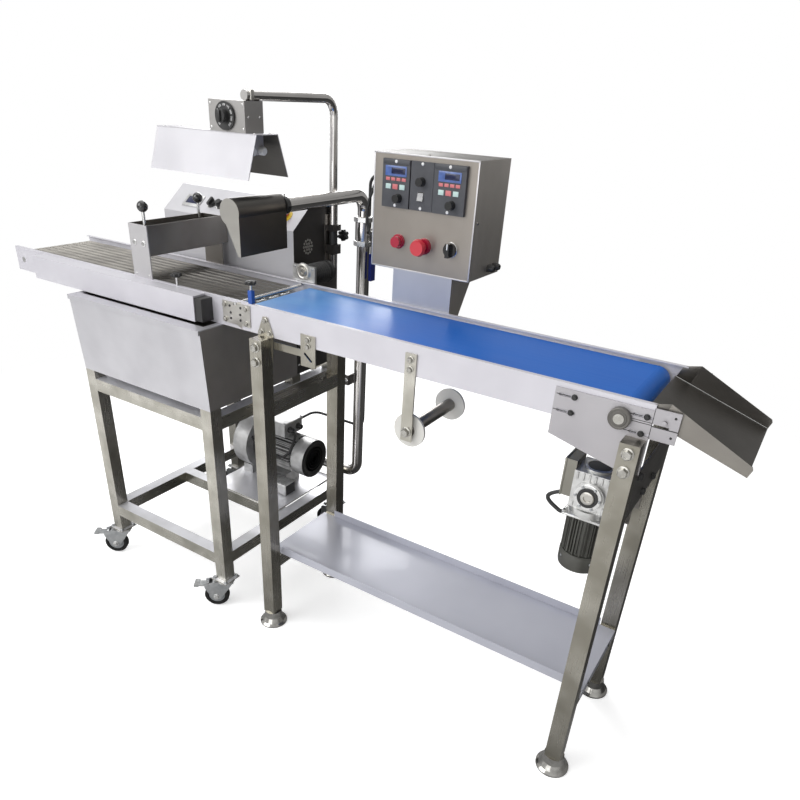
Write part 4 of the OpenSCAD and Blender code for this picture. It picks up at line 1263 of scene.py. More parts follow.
    def _knobs(self) -> None:
        """Stand the clamp knobs and the blue belt guide on the front rail."""
        for name, (x, y, foot), tall in self.knobs:
            stem = self.turned(f"{name}_stem", ((3.0, 0.0), (3.0, tall)), 12, self.spot(x, y, foot - 0.3, UP))
            self.mount(stem, BRIGHT, "zinc")
            head = self.bench.knob(f"{name}_head", self.knob_size, self.knob_size)
            self.bench.lay(head, *self.spot(x, y, foot + tall - 1, UP))
            self.mount(head, BLACK, "black_plastic")
        self.mount(self.block("belt_guide", self.guide, 1.5 * MM), GUIDE_BLUE, "blue_grip")

    def _motor(self) -> None:
        """Add the face, screws and ribs of the detailer motor."""
        face = self.turned("detailer_face", self.motor_rings, 40, self.spot(*self.motor_face, FRONT))
        self.mount(face, BRACKET, "motor_grey")
        x, y, z = self.motor_foot
        spots = self.grid((x - 30, x + 30), (134.1,), (990,), FRONT)
        spots += self.grid((x - 22, x + 22), (238,), (z - 14, z + 14), REAR)
        self.screws("detailer_screws", 3 * MM, spots, ZINC)
        spots = [self.spot(x, y + self.rib_pitch * step, z, REAR) for step in range(8)]
        self.mount(self.row("detailer_ribs", self.rib, 40, spots), BLACK, "motor_grey")


@dataclass
class Curtain(SubAssembly):
    """Trough and its gates.

    Attributes:
        front: Bright front plate of the trough.
        face: Ends of the trough.
    """

    front: Box = ((-460, -132, 950), (-370, -127.9, 1090))
    ball: float = 28.5 * MM
    face: float = 131.0
    bush: Rings = ((7.4, -0.2), (7.4, 1.4), (6.4, 2), (4.6, 2))

    def build(self) -> None:
        """Finish the solids and add the trough's screws and bushes."""
        self.coat(DARK_Y, "trough")
        self.coat_inside("trough", SATIN_Z, self.front)
        for name in ("gate_front", "gate_rear"):
            self.coat(BRIGHT, name)
            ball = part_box(name)[1].z - self.ball
            self.coat_where(name, GLOSS_BLACK, lambda c, ball=ball: c.z > ball)
        self.screws("trough_screws", 3.2 * MM, self.pairs(self.face, ((-438, 962), (-388, 962))), BRIGHT)
        spots = self.pairs(self.face, ((-430, 1042), (-396, 1042)))
        self.mount(self.row("gate_bushes", self.bush, 24, spots), BRIGHT, "dark_steel")


@dataclass
class AirSupply(SubAssembly):
    """Air nozzle, pipe, valve and blower.

    Attributes:
        cowl: X where the black fan cover starts.
        valve: X and Y of the pipe's upright.
        axle: Point of the blower's axis.
        barrel: Radius of the motor between its fins.
        barrel_run: Start and end of the barrel from the axle's point.
        hoop_step: Share by which each hoop is smaller.
        grille: Middle of the grille.
        outlet: X of its black end.
    """

    lip: float = 1.5 * MM
    sleeve: Box = ((-120, 61, 1120), (-60, 76.5, 1180))
    bracket: Box = ((-150, 340, 550), (-60, 407, 625))
    grip: float = 81 * MM
    cowl: float = -175.5
    valve: Pair = (-90, 428)
    valve_nut: Rings = ((26, 0), (29, 1.5), (29, 14), (26, 15.5))
    axle: Place = (-400, 290, 310)
    barrel: float = 60.3 * MM
    barrel_run: Pair = (2 * MM, 174 * MM)
    fins: int = 36
    fin: Box = ((-376, 288.8, 369.8), (-232, 291.2, 377))
    ribs: int = 18
    rib: Box = ((-463.5, 287.5, 345), (-461.8, 292.5, 398))
    lid: Box = ((-347, 241, 421.8), (-260, 339, 430))
    hoop: Rings = ((60, -0.2), (60, 1), (57, 1.6), (56, 1))
    hoops: int = 5
    hoop_step: float = 0.19
    grille: Place = (-173.9, 290, 310)
    silencer: Box = ((-336, 174, 200.2), (-206, 226, 242))
    silencer_rib: Box = ((-330, 176, 241.5), (-325, 224, 245))
    silencer_pitch: float = 19.0
    outlet: float = -207.0
    cable: tuple[Place, ...] = (
        (-246, 268, 402), (-232, 264, 400), (-222, 248, 390), (-219, 230, 370),
        (-224, 217, 346), (-244, 212, 326), (-280, 211, 316), (-322, 212, 318),
        (-362, 217, 330), (-390, 224, 344), (-401, 228, 350),
    )

    def build(self) -> None:
        """Finish the solids and add the pipe's fittings, the blower's details and the silencer."""
        self.coat(NOZZLE, "air_nozzle")
        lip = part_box("air_nozzle")[0].y + self.lip
        self.coat_where("air_nozzle", BRACKET, lambda c: c.y < lip)
        self.coat(POLISHED, "air_pipe")
        self.coat_inside("air_pipe", GLOSS_BLACK, self.sleeve)
        self.coat_inside("air_pipe", SIDE_SHADE_NEAR_BLACK, self.bracket)
        self.coat(BRIGHT, "valve_lever")
        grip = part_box("valve_lever")[0].z + self.grip
        self.coat_where("valve_lever", GRIP_BLUE, lambda c: c.z < grip)
        self._casting()
        self._pipe_fittings()
        self._blower()
        self._silencer()

    def _casting(self) -> None:
        """Finish the blower, with its fan cover black and the barrel between its fins near black as painted
        shade.
        """
        self.coat(BLOWER, "ring_blower", "blower_impeller")
        cowl = self.datum.at(self.cowl, 0.0, 0.0).x
        self.coat_where("ring_blower", BLACK, lambda c: c.x > cowl)
        axle = self.datum.at(*self.axle)
        start, end = self.barrel_run
        # Painted shade: the barrel between the fins takes a near black finish.
        self.coat_where(
            "ring_blower", FIN_GAP_SHADE,
            lambda c: start < c.x - axle.x < end and math.hypot(c.y - axle.y, c.z - axle.z) < self.barrel,
        )

    def _pipe_fittings(self) -> None:
        """Add the clamp bolt, the hexagon nuts of the valve and the lever's nut."""
        x, y = self.valve
        self.bolts("collar_bolt", 10 * MM, [self.spot(x, 69, 1173.6, UP)], BRIGHT)
        nut = self.bench.lathe("valve_nut", scaled(self.valve_nut), 8, 20.0)
        nuts = self.bench.stamp("valve_nuts", nut, self.grid((x,), (y,), (1008, 1076), UP))
        self.mount(nuts, BRIGHT, "stainless")
        self.bolts("lever_nut", 13 * MM, [self.spot(-50.6, y, 1050, RIGHT)], BRIGHT, "valve_lever")
        self.bolts("bracket_bolts", 10 * MM, [self.spot(-112, 379, 587, FRONT)], BRIGHT)

    def _blower(self) -> None:
        """Add fins, casing ribs, the terminal box's lid and glands, casing bolts and the fan grille."""
        axle = self.datum.at(*self.axle)
        for name, box, count in (("blower_fins", self.fin, self.fins), ("casing_ribs", self.rib, self.ribs)):
            ring = self.bench.spin(name, self.block(name, box, 0.5 * MM, 1), axle, "X", count)
            self.mount(ring, BLOWER, "blower_grey")
        self.mount(self.block("terminal_lid", self.lid, 3 * MM, 3), BLOWER, "blower_grey")
        self.screws("lid_screws", 4 * MM, self.grid((-341, -266), (248, 332), (430,), UP), ZINC)
        gland = self.bench.gland(11 * MM)
        glands = self.bench.stamp("blower_glands", gland, self.grid((-264,), (268, 312), (402,), RIGHT))
        self.mount(glands, BLACK, "black_plastic")
        face = (-462.0, *self.axle[1:])
        self.bolts("casing_bolts", 9 * MM, self.circle(face, 84.0, 8, LEFT, 22.5), ZINC)
        hoops = []
        for step in range(self.hoops):
            rings = scaled(self.hoop, (1.0 - self.hoop_step * step) * MM)
            hoops.append(self.bench.lay(self.bench.lathe("hoop", rings, 40), *self.spot(*self.grille, RIGHT)))
        self.mount(self.bench.join("fan_grille", hoops), BLACK, "blower_grey")

    def _silencer(self) -> None:
        """Lay the ribbed silencer on the tray and run the motor's cable past the fins."""
        body = [self.block("body", self.silencer, 5 * MM, 3)]
        (x0, y0, z0), (x1, y1, z1) = self.silencer_rib
        for step in range(7):
            run = self.silencer_pitch * step
            body.append(self.block("rib", ((x0 + run, y0, z0), (x1 + run, y1, z1)), 0.8 * MM, 1))
        silencer = self.bench.join("silencer", body)
        self.mount(silencer, BLOWER, "blower_grey")
        outlet = self.datum.at(self.outlet, 0.0, 0.0).x
        self.bench.dress_facing(silencer, BLACK, lambda c, n: c.x > outlet)
        path = [self.datum.at(*place) for place in self.cable]
        self.mount(self.bench.rod("blower_cable", path, 4.4 * MM, sides=4), CABLE, "cable_black")


@dataclass
class Heater(SubAssembly):
    """Heater hood on its pole.

    Attributes:
        hood_tall: From the hood's lower edge to its top.
        hood_depth: From its top to the axis that it bends round.
        lamp_drop: From its top to the lamp tubes.
        lamp_gap: From its middle to a lamp tube.
        lamp: Half of the square round a lamp tube.
        dial_face: From the grip's front to the dial's face.
        dial_reach: From the dial's middle to its numbers.
        dial_sweep: Angle of the first number and turn to the last, in degrees.
    """

    hood_tall: float = 95 * MM
    hood_depth: float = 42 * MM
    lamp_drop: float = 38 * MM
    lamp_gap: float = 18 * MM
    lamp: float = 6.5 * MM
    strap: Box = ((-133.6, -10, 1379.8), (-108.4, 2, 1403))
    cap: Rings = ((8, -0.2), (9.5, 1), (9.5, 12), (7, 15), (3, 15))
    grip: Box = ((-171.5, -59, 1335), (-164.5, -53.8, 1359))
    marks: tuple[int, ...] = (50, 75, 100, 125, 150, 175, 200, 225, 250)
    numeral: float = 6.5 * MM
    dial_face: float = 15 * MM
    dial_reach: float = 23 * MM
    dial_sweep: Pair = (225, 270)

    def build(self) -> None:
        """Finish the solids, mark the dial and add the hood's fittings."""
        self.coat(HOOD_WHITE, "heater_hood")
        low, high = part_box("heater_hood")
        top = low.z + self.hood_tall
        middle = (low.y + high.y) / 2
        axis = top - self.hood_depth
        tubes = top - self.lamp_drop
        skin = 0.5 * MM
        self.coat_where("heater_hood", THERMO_STEEL, lambda c: c.z > top + skin)
        # Faces turned into the hood take dark steel: painted shade inside the hood.
        self.bench.dress_facing(
            self.nodes["heater_hood"], DARK_STEEL_AND_SHADE,
            lambda c, n: c.z < top - skin and n.y * (c.y - middle) + n.z * (c.z - axis) < 0.0,
        )
        self.coat_where(
            "heater_hood", QUARTZ,
            lambda c: abs(abs(c.y - middle) - self.lamp_gap) < self.lamp and abs(c.z - tubes) < self.lamp,
        )
        self.coat(POLISHED, "lamp_pole")
        self.coat(BLACK, "lamp_collar", "clamp_knob", "heater_dial")
        self._numbers()
        self._fittings()

    def _fittings(self) -> None:
        """Add the screws of box and hood, the arm's strap, the lamp caps and the dial's grip bar."""
        spots = self.grid((-216, -114), (-34,), (1322, 1372), FRONT)
        spots += self.grid((-108,), (-22, 16), (1347,), RIGHT)
        self.screws("thermostat_screws", 3 * MM, spots, BRIGHT, "lamp")
        self.screws("hood_screws", 3.4 * MM, self.grid((-390, -88), (-26, 26), (1314,), UP), BRIGHT, "lamp")
        self.mount(self.block("arm_strap", self.strap, 2 * MM, 3), BRACKET, "stainless", "lamp")
        spots = self.grid((-112,), (-18, 18), (1276,), RIGHT) + self.grid((-383,), (-18, 18), (1276,), LEFT)
        self.mount(self.row("lamp_caps", self.cap, 24, spots), WHITE_MARK, "white_panel", "lamp")
        self.mount(self.block("dial_grip", self.grip, 1.5 * MM), BLACK, "black_plastic", "heater_dial")

    def _numbers(self) -> None:
        """Set generic numbers round the dial's face."""
        centre = Vector(self.joint_of("heater_dial")["pos_m"])
        centre.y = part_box("heater_dial")[0].y + self.dial_face - 0.1 * MM
        stand = Matrix.Rotation(math.pi / 2, 4, "X")
        first, sweep = self.dial_sweep
        made = []
        for i, mark in enumerate(self.marks):
            self.bench.clear()
            bpy.ops.object.text_add(location=(0.0, 0.0, 0.0))
            text = bpy.context.object.data
            text.body = str(mark)
            text.size = self.numeral
            text.align_x = text.align_y = "CENTER"
            text.extrude = 0.15 * MM
            bpy.ops.object.convert(target="MESH")
            piece = bpy.context.object
            angle = math.radians(first - sweep * i / (len(self.marks) - 1))
            spot = centre + Vector((math.cos(angle), 0.0, math.sin(angle))) * self.dial_reach
            upright = Matrix.Rotation(angle - math.pi / 2, 4, "Z")
            piece.data.transform(Matrix.Translation(spot) @ stand @ upright)
            made.append(piece)
        self.mount(self.bench.join("dial_numbers", made), WHITE_MARK, "black_plastic", "heater_dial")


@dataclass
class Conveyor(SubAssembly):
    """Blue belt conveyor with legs, shelf and drive plates.

    Attributes:
        bars: Half of the stretch where the cross bars show.
        hub: Middle of the drive roller.
        hub_face: Foot of the housing.
        plate_face: Outside of the drive plates.
        bracket_face: Outside of the leg brackets.
        leg_face: Outside of the legs.
        slots: X and Z of each slot.
        slot_half: Half of a slot's length and width.
        seams: X and Z of two corners of each seam.
        mark_run: Y of the front and the rear of slots and seams.
        cover_face: Seat of the covers.
    """

    bars: float = 90 * MM
    brackets: tuple[Box, ...] = (
        ((-10, -133.95, 815), (180, -130.5, 940)), ((-10, 130.5, 815), (180, 133.95, 940))
    )
    panel: Box = ((885, -134, 660), (940, 134, 815))
    foot: float = 41.05 * MM
    hub: Place = (884, 0, 915)
    hub_radius: float = 21 * MM
    hub_face: float = 134.2 * MM
    plate_face: float = 134.0
    bracket_face: float = 133.9
    leg_face: float = 172.0
    leg_bolt: float = 17 * MM
    plate_bolt: float = 8.5 * MM
    slots: tuple[Pair, ...] = ((772, 930), (770, 898), (908, 928), (904, 894))
    slot_half: Pair = (14, 0.8)
    seams: tuple[tuple[Pair, Pair], ...] = (
        ((903, 914.2), (941, 915.6)), ((903, 918.4), (941, 919.6)),
        ((940.4, 888), (941.6, 948)), ((941, 912.4), (987, 914.4)),
    )
    mark_run: Pair = (-134.3, -133.9)
    cover: Rings = (
        (20.4, -9), (21, -8), (21, 0.2), (19, 1.2), (17.5, 0.6), (15, 0.6), (14, 1.6), (11.6, 1.6)
    )
    cover_face: float = 143.0

    def build(self) -> None:
        """Finish the solids and add bolts, slots and bearing covers."""
        self.coat(LEG_Z, "conveyor_legs")
        line = self.datum.at(0.0, 0.0, 0.0).y
        self.coat_where("conveyor_legs", TUBE_Y, lambda c: abs(c.y - line) < self.bars)
        for bracket in self.brackets:
            self.coat_inside("conveyor_legs", BRACKET, bracket)
        self.coat_inside("conveyor_legs", DARK_Y, self.panel)
        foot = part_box("conveyor_legs")[0].z + self.foot
        self.coat_where("conveyor_legs", FOOT_STEEL, lambda c: c.z < foot)
        self.coat(SHELF_FILM, "shelf")
        self.coat(RAIL_WHITE, "conveyor_rails")
        self.coat(PLATE_LILAC, "drive_plates")
        hub = self.datum.at(*self.hub)
        self.coat_where(
            "drive_plates", DARK_X,
            lambda c: abs(c.y - hub.y) > self.hub_face
            and math.hypot(c.x - hub.x, c.z - hub.z) < self.hub_radius,
        )
        self.coat(BELT, "blue_belt")
        self.coat(BOLT_STEEL, "drive_roller", "tail_roller")
        self._leg_bolts()
        self._plate_bolts()
        covers = self.row("bearing_covers", self.cover, 48, self.pairs(self.cover_face, (self.hub[::2],)))
        self.mount(covers, DARK_STEEL_AND_SHADE, "stainless")

    def _leg_bolts(self) -> None:
        """Bolt the legs, the leg brackets, the shelf and the motor panel."""
        spots = self.pairs(self.leg_face, ((19, 865), (19, 828), (920, 865), (920, 828)))
        self.bolts("leg_bolts", self.leg_bolt, spots, BOLT_STEEL)
        spots = self.pairs(self.bracket_face, ((19, 922), (6, 893), (32, 893), (150, 902), (150, 886)))
        self.bolts("bracket_plate_bolts", 10 * MM, spots, BOLT_STEEL)
        places = ((112, 800), (40, 735), (-40, 735), (-112, 800))
        self.bolts("panel_bolts", 12 * MM, [self.spot(939, y, z, RIGHT) for y, z in places], BLACK)
        spots = self.grid((941,), (-78, 78), (227,), RIGHT) + self.grid((-2,), (-78, 78), (227,), LEFT)
        self.screws("shelf_screws", 3.6 * MM, spots, BLACK)

    def _plate_bolts(self) -> None:
        """Set the clamping bolts, the slots and seams of the drive plates and the ears' screws."""
        spots = self.pairs(self.plate_face, ((794, 930), (792, 898), (930, 928), (926, 894)))
        self.bolts("slot_bolts", self.plate_bolt, spots, BLACK)
        self.screws("ear_screws", 2.4 * MM, self.pairs(self.plate_face, ((978, 938), (978, 900))), BLACK)
        long, wide = self.slot_half
        areas = [((x - long, z - wide), (x + long, z + wide)) for x, z in self.slots]
        front, rear = self.mark_run
        marks = []
        for (x0, z0), (x1, z1) in (*areas, *self.seams):
            marks.append(self.block("mark", ((x0, front, z0), (x1, rear, z1)), 0.1 * MM, 1))
        self.mount(self.bench.join("slot_marks", marks), BLACK, "black_plastic")


@dataclass
class Drive(SubAssembly):
    """Gearmotor, sprocket, chain and spool.

    Attributes:
        motor_top: Z where the cast reducer starts.
        cover: Middle of the reducer's front cover.
        cap: Middle of its top cap.
        cover_bolt: Y and reach of the cover bolts.
        rib_feet: Z of the two rows of ribs.
        cowl_foot: Z of its lower edge.
        cowl_screw: Z and reach of its screws.
        cable_bow: Bow and drop of the motor's cable.
        pins: Middle of the motor's and the belt's sprocket.
        strand: From the sprockets' line to a strand.
        side: From the chain's middle to the rollers' ends.
        core: Radius of the spool's tube.
        arm: X and Y of the spool arm's front.
    """

    motor_top: float = 650.5
    terminals: Box = ((783, -70, 680), (806.2, 10, 770))
    cover: Place = (846, -78, 702)
    cap: Place = (846, -32, 752)
    cover_bolt: Pair = (-82, 26)
    rib_feet: Pair = (668, 734)
    flange: Box = ((797, -81, 645), (894.5, 17, 652))
    fins: int = 40
    fin: Box = ((886, -32.8, 556), (892.4, -31.2, 642))
    cowl: Rings = ((42, 0), (46.5, 3), (47.5, 8), (47.5, 36), (46.4, 38))
    cowl_foot: float = 511.0
    cowl_screw: Pair = (536, 47.4)
    lid: Box = ((780, -64, 680), (784.3, 0, 770))
    cable_bow: Pair = (32, 50)
    cable_steps: int = 16
    pins: Box = ((846, 123, 702), (884, 123, 915))
    pitch: float = 9.525 * MM
    strand: float = 20 * MM
    side: float = 3 * MM
    roller: Rings = ((3.6, -0.2), (3.6, 0.8), (2.2, 0.9), (1.8, 1.3))
    core: float = 18 * MM
    arm: Pair = (432, -135)

    def build(self) -> None:
        """Finish the solids and add the gearmotor's, chain's and spool's details."""
        self.coat(MOTOR, "gearmotor")
        top = self.datum.at(0.0, 0.0, self.motor_top).z
        self.coat_where("gearmotor", CAST, lambda c: c.z > top)
        self.coat_inside("gearmotor", OLIVE_BOX, self.terminals)
        self.coat(DARK_Z, "motor_sprocket", "drive_chain")
        self._covers()
        self._reducer()
        self._motor()
        self._chain()
        self._spool()

    def _covers(self) -> None:
        """Add the stepped covers on the front and the top of the worm reducer."""
        front, top = self.spot(*self.cover, FRONT), self.spot(*self.cap, UP)
        for name, rings, spot, finish, slot in (
            ("reducer_cover", ((30, -0.2), (30, 3), (27, 4), (22, 3)), front, BRIGHT, "motor_grey"),
            ("reducer_seal", ((22, 2.9), (22, 5), (16, 5), (15, 3.4)), front, BLACK, "black_plastic"),
            ("output_hub", ((14.6, 3), (14.6, 6), (13, 7), (8, 7), (7.6, 4.4)), front, BRACKET, "motor_grey"),
            ("reducer_cap", ((30, -0.2), (30, 5), (25, 6), (24, 4)), top, CAST, "motor_grey"),
            ("cap_plug", ((24, 3), (24, 5), (20, 5.6)), top, BLACK, "black_plastic"),
        ):
            self.mount(self.turned(name, rings, 40, spot), finish, slot)

    def _reducer(self) -> None:
        """Add the reducer's ribs, cover bolts and flange."""
        boxes = []
        for step in range(6):
            x = 812 + 13 * step
            boxes += [((x, -72.5, z), (x + 4, -69.8, z + 16)) for z in self.rib_feet]
        for step in range(5):
            y = -62 + 14 * step
            boxes.append(((803.4, y, 667), (806.2, y + 4, 681)))
        ribs = [self.block("rib", box, 0.8 * MM, 1) for box in boxes]
        self.mount(self.bench.join("reducer_ribs", ribs), CAST, "motor_grey")
        face, reach = self.cover_bolt
        centre = (self.cover[0], face, self.cover[2])
        self.bolts("cover_bolts", 5 * MM, self.circle(centre, reach, 6, FRONT), ZINC)
        self.mount(self.block("motor_flange", self.flange, 5 * MM, 3), CAST, "motor_grey")
        self.bolts("flange_bolts", 8 * MM, self.grid((803, 888), (-75, 11), (652,), UP), BRIGHT)

    def _motor(self) -> None:
        """Add the motor's fins, fan cover and terminal box lid with its cable."""
        x, y, _ = self.cap
        fin = self.block("motor_fins", self.fin, 0.3 * MM, 1)
        fins = self.bench.spin("motor_fins", fin, self.datum.at(x, y, 600), "Z", self.fins)
        self.mount(fins, MOTOR, "motor_grey")
        cowl = self.turned("fan_cowl", self.cowl, 48, self.spot(x, y, self.cowl_foot, UP))
        self.mount(cowl, MOTOR, "motor_grey")
        height, reach = self.cowl_screw
        middle = self.datum.at(x, y, height)
        spots = [(place, (place - middle).normalized())
                 for place, _ in self.circle((x, y, height), reach, 4, UP, 45.0)]
        self.screws("cowl_screws", 3 * MM, spots, ZINC)
        self.mount(self.block("motor_box_lid", self.lid, 1.2 * MM), OLIVE_BOX, "motor_grey")
        self.screws("motor_box_screws", 2.8 * MM, self.grid((780,), (-58, -6), (686, 764), LEFT), BRIGHT)
        out, drop = self.cable_bow
        path = [self.datum.at(795, -48, 684)]
        for step in range(1, self.cable_steps + 1):
            share = step / self.cable_steps
            path.append(self.datum.at(786 - out * math.sin(math.pi * share), -50, 684 - drop * share))
        path.append(self.datum.at(806, -50, 634))
        self.mount(self.bench.rod("motor_cable", path, 4.6 * MM, sides=4), CABLE, "cable_black")

    def _chain(self) -> None:
        """Add the ends of the chain's rollers along both strands."""
        start, end = (self.datum.at(*pin) for pin in self.pins)
        along = (end - start).normalized()
        across = Vector((along.z, 0.0, -along.x)) * self.strand
        spots = []
        for strand in (-across, across):
            for step in range(int((end - start).length / self.pitch)):
                place = start + along * (step + 0.5) * self.pitch + strand
                spots += [(place + REAR * self.side, REAR), (place + FRONT * self.side, FRONT)]
        self.mount(self.row("chain_rollers", self.roller, 12, spots), BRIGHT, "dark_steel")

    def _spool(self) -> None:
        """Finish the spool and add the arm's bolts and axle nut."""
        self.coat(TUBE_Z, "spool_arm")
        self.coat(DARK_Y, "spool")
        middle = Vector(self.joint_of("spool")["pos_m"])
        self.coat_where("spool", PALE_DISC, lambda c: math.hypot(c.x - middle.x, c.z - middle.z) > self.core)
        x, y = self.arm
        self.bolts("arm_bolts", 11 * MM, self.grid((x,), (y,), (920, 898), FRONT), BOLT_STEEL)
        self.bolts("axle_nut", 17 * MM, [self.spot(x, y, 750, FRONT)], BOLT_STEEL)


@dataclass
class Discharge(SubAssembly):
    """Chute on its pins.

    Attributes:
        tilt: Slope of the floor at rest, in degrees.
        wall: Span of the front wall's face from the chute's middle.
        pin: X and Z of the pins.
        pin_face: Ends of the pins.
        wing: Corners of a wing from the pin, along the floor and up.
        wing_run: Y of the wings.
        fold: Places along the bend between floor and wall, from the pin along the floor, for the rods of
            painted highlight.
        fold_drop: From the pin down to those bends.
        fold_run: Y of those bends.
    """

    tilt: float = 18.0
    wall: Pair = (126.9 * MM, 127.5 * MM)
    pin: Pair = (962, 925)
    pin_face: float = 138.0
    pin_end: Rings = ((4, -0.2), (4.6, 0.4), (4.4, 1.2), (3.2, 1.6))
    wing: tuple[Pair, ...] = ((-40, -9.9), (-8, -9.9), (-8, 33.9), (-38, 16))
    wing_run: Pair = (-127, 125)
    wing_thick: float = 2 * MM
    fold: tuple[float, ...] = (-40, 60, 163)
    fold_drop: float = 9.4 * MM
    fold_run: Pair = (-126.2, 125.2)

    def build(self) -> None:
        """Finish the solid and add the pins' ends, the wings and thin bright rods on the bends of the walls,
        a painted highlight.
        """
        self.coat(CHUTE_STEEL_PAINTED_SHADE, "chute")
        low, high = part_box("chute")
        middle = (low.y + high.y) / 2
        inside, outside = self.wall
        # The front wall's outer face takes the lighter copy and the rest stays dark: painted light and shade.
        self.coat_where("chute", CHUTE_FACE_PAINTED_LIGHT, lambda c: inside < middle - c.y < outside)
        ends = self.row("pin_ends", self.pin_end, 24, self.pairs(self.pin_face, (self.pin,)))
        self.mount(ends, PLATE_LILAC, "stainless", "chute")
        self._wings()

    def _wings(self) -> None:
        """Carry the side walls back past the pins and lay a thin bright rod along each wall's lower bend, a
        painted highlight.
        """
        lean = math.radians(self.tilt)
        along = Vector((math.cos(lean), 0.0, -math.sin(lean)))
        up = Vector((math.sin(lean), 0.0, math.cos(lean)))
        x, z = self.pin
        wings = []
        for y in self.wing_run:
            pin = self.datum.at(x, y, z)
            outline = [pin + along * run * MM + up * rise * MM for run, rise in self.wing]
            wings.append(self.bench.plate("wing", outline, REAR * self.wing_thick, 0.2 * MM))
        self.mount(self.bench.join("chute_wings", wings), CHUTE_STEEL_PAINTED_SHADE, "dark_steel", "chute")
        # Thin bright rods along the bends between floor and walls: painted highlight.
        bend_highlights = []
        for y in self.fold_run:
            pin = self.datum.at(x, y, z)
            places = [pin + along * run * MM - up * self.fold_drop for run in self.fold]
            bend_highlights.append(self.bench.rod("fold", places, 0.7 * MM, sides=3))
        self.mount(self.bench.join("chute_bend_highlights", bend_highlights), BRIGHT, "dark_steel", "chute")


@dataclass
class Controls(SubAssembly):
    """Control box on its post.

    Attributes:
        sheet: Thickness of the box's front.
        post_edge: Depth of the post's bright right edge.
        lamp_top: From the pilot lamp's lowest point past its lens.
        module_out: From the box's front to the controllers' fronts.
        modules: Left edge, width and screw seat of each module.
        window: Left, right, lower and upper edge of a display's frame.
        glass: Edges of its glass.
        key_left: Left edge of the first keys.
        small_key: Pitch, width, lower and upper edge of the upper keys.
        large_key: The same of the lower keys.
        cap: Lower and upper edge of a cap strip.
        front: Y of the box's front.
    """

    sheet: float = 1 * MM
    post_edge: float = 3 * MM
    lamp_top: float = 35 * MM
    module_tall: float = 104 * MM
    module_out: float = 9.0
    modules: tuple[Place, ...] = ((0, 74, 10), (76, 60, 7), (138, 82, 10))
    window: Edges = (-29, 29, 68, 90)
    glass: Edges = (-12, 25, 73, 86)
    key_left: float = -27.0
    small_key: Edges = (14.5, 11, 58, 65)
    large_key: Edges = (19, 14, 40, 51)
    cap: Pair = (93, 103)
    front: float = 133.0
    selector_mark: Box = ((362.6, 112.6, 1102), (365.4, 113.4, 1115))
    edges: tuple[Box, ...] = (
        ((142, 131.8, 1289), (418, 133.2, 1292.4)), ((142, 131.8, 1033.6), (418, 133.2, 1037)),
        ((141.6, 131.8, 1034), (145, 133.2, 1292)), ((415, 131.8, 1034), (418.4, 133.2, 1292)),
    )
    cable: tuple[Place, ...] = (
        (146, 216, 1262), (128, 213, 1256), (108, 211, 1236), (92, 210, 1208),
        (79, 209, 1176), (73, 208, 1144), (74, 208, 1114), (84, 209, 1090),
        (102, 211, 1075), (124, 214, 1068), (146, 216, 1066),
    )

    def build(self) -> None:
        """Finish the solids and add the module fronts, rings, screws, glands and the cable."""
        box = self.nodes["control_box"]
        self.coat(BOX_FRONT_AND_SIDE_SHADE, "control_box")
        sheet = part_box("control_box")[0].y + self.sheet
        self.coat_where("control_box", BOX_GREY, lambda c: c.y > sheet)
        # By face direction the top faces take dark steel and the left faces the front's darker tone, both
        # painted shade.
        self.bench.dress_facing(box, DARK_STEEL_AND_SHADE, lambda c, n: n.z > FLAT)
        self.bench.dress_facing(box, BOX_FRONT_AND_SIDE_SHADE, lambda c, n: n.x < -FLAT)
        self.coat(POST_GREY, "control_post")
        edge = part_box("control_post")[1].x - self.post_edge
        self.coat_where("control_post", BOX_GREY, lambda c: c.x > edge)
        self.coat(CABLE, "control_cable")
        self.coat(CHARCOAL, "panel_modules")
        self.coat(GLOSS_BLACK, "left_knob", "middle_knob", "right_knob", "box_selector")
        self.coat(ROCKER_GREY, "rocker")
        self.coat(RED, "box_stop")
        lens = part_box("panel_modules")[0].z + self.lamp_top
        self.coat_where("panel_modules", DEEP_RED, lambda c: c.z < lens)
        self._fronts()
        self._module_screws()
        self._buttons()
        self._case()

    def _corner(self, module: Place, out: float) -> Vector:
        """Find the middle of a module's lower edge.

        Args:
            module: Row of the module.
            out: From the box's front to the wanted face in millimetres.

        Returns:
            The place.
        """
        low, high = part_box("panel_modules")
        start, width, _ = module
        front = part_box("control_box")[0].y - out * MM
        return Vector((low.x + (start + width / 2) * MM, front, high.z - self.module_tall))

    def _fronts(self) -> None:
        """Add displays, keys and cap strips to the two controllers."""
        windows, glasses, reds, pales, caps = [], [], [], [], []
        for module in self.modules[::2]:
            face = self._corner(module, self.module_out)
            windows.append(self._tile("window", face, self.window))
            glasses.append(self._tile("glass", face + FRONT * MM, self.glass))
            for count, key in ((4, self.small_key), (3, self.large_key)):
                pitch, width, foot, top = key
                for k in range(count):
                    x = self.key_left + k * pitch
                    group = reds if count == 4 or k == 1 else pales
                    group.append(self._tile("key", face, (x, x + width, foot, top)))
            half = module[1] / 2 - 1
            caps.append(self._tile("cap", face, (-half, half, *self.cap)))
        for name, group, finish in (
            ("display_frames", windows, DISPLAY_BLUE), ("display_glasses", glasses, DISPLAY_DARK),
            ("red_keys", reds, RED_KEY), ("pale_keys", pales, PALE_KEY), ("module_caps", caps, CHARCOAL),
        ):
            self.mount(self.bench.join(name, group), finish, "charcoal_plastic")

    def _tile(self, name: str, face: Vector, edges: Edges) -> Piece:
        """Make a small raised tile on a module.

        Args:
            name: Object name.
            face: Middle of the module's lower edge, on the face that the tile stands on.
            edges: Left, right, lower and upper edge from there in millimetres.

        Returns:
            The tile.
        """
        left, right, foot, top = edges
        low = face + Vector((left, -1.2, foot)) * MM
        high = face + Vector((right, 0.3, top)) * MM
        return self.bench.slab(name, low, high, 0.5 * MM)

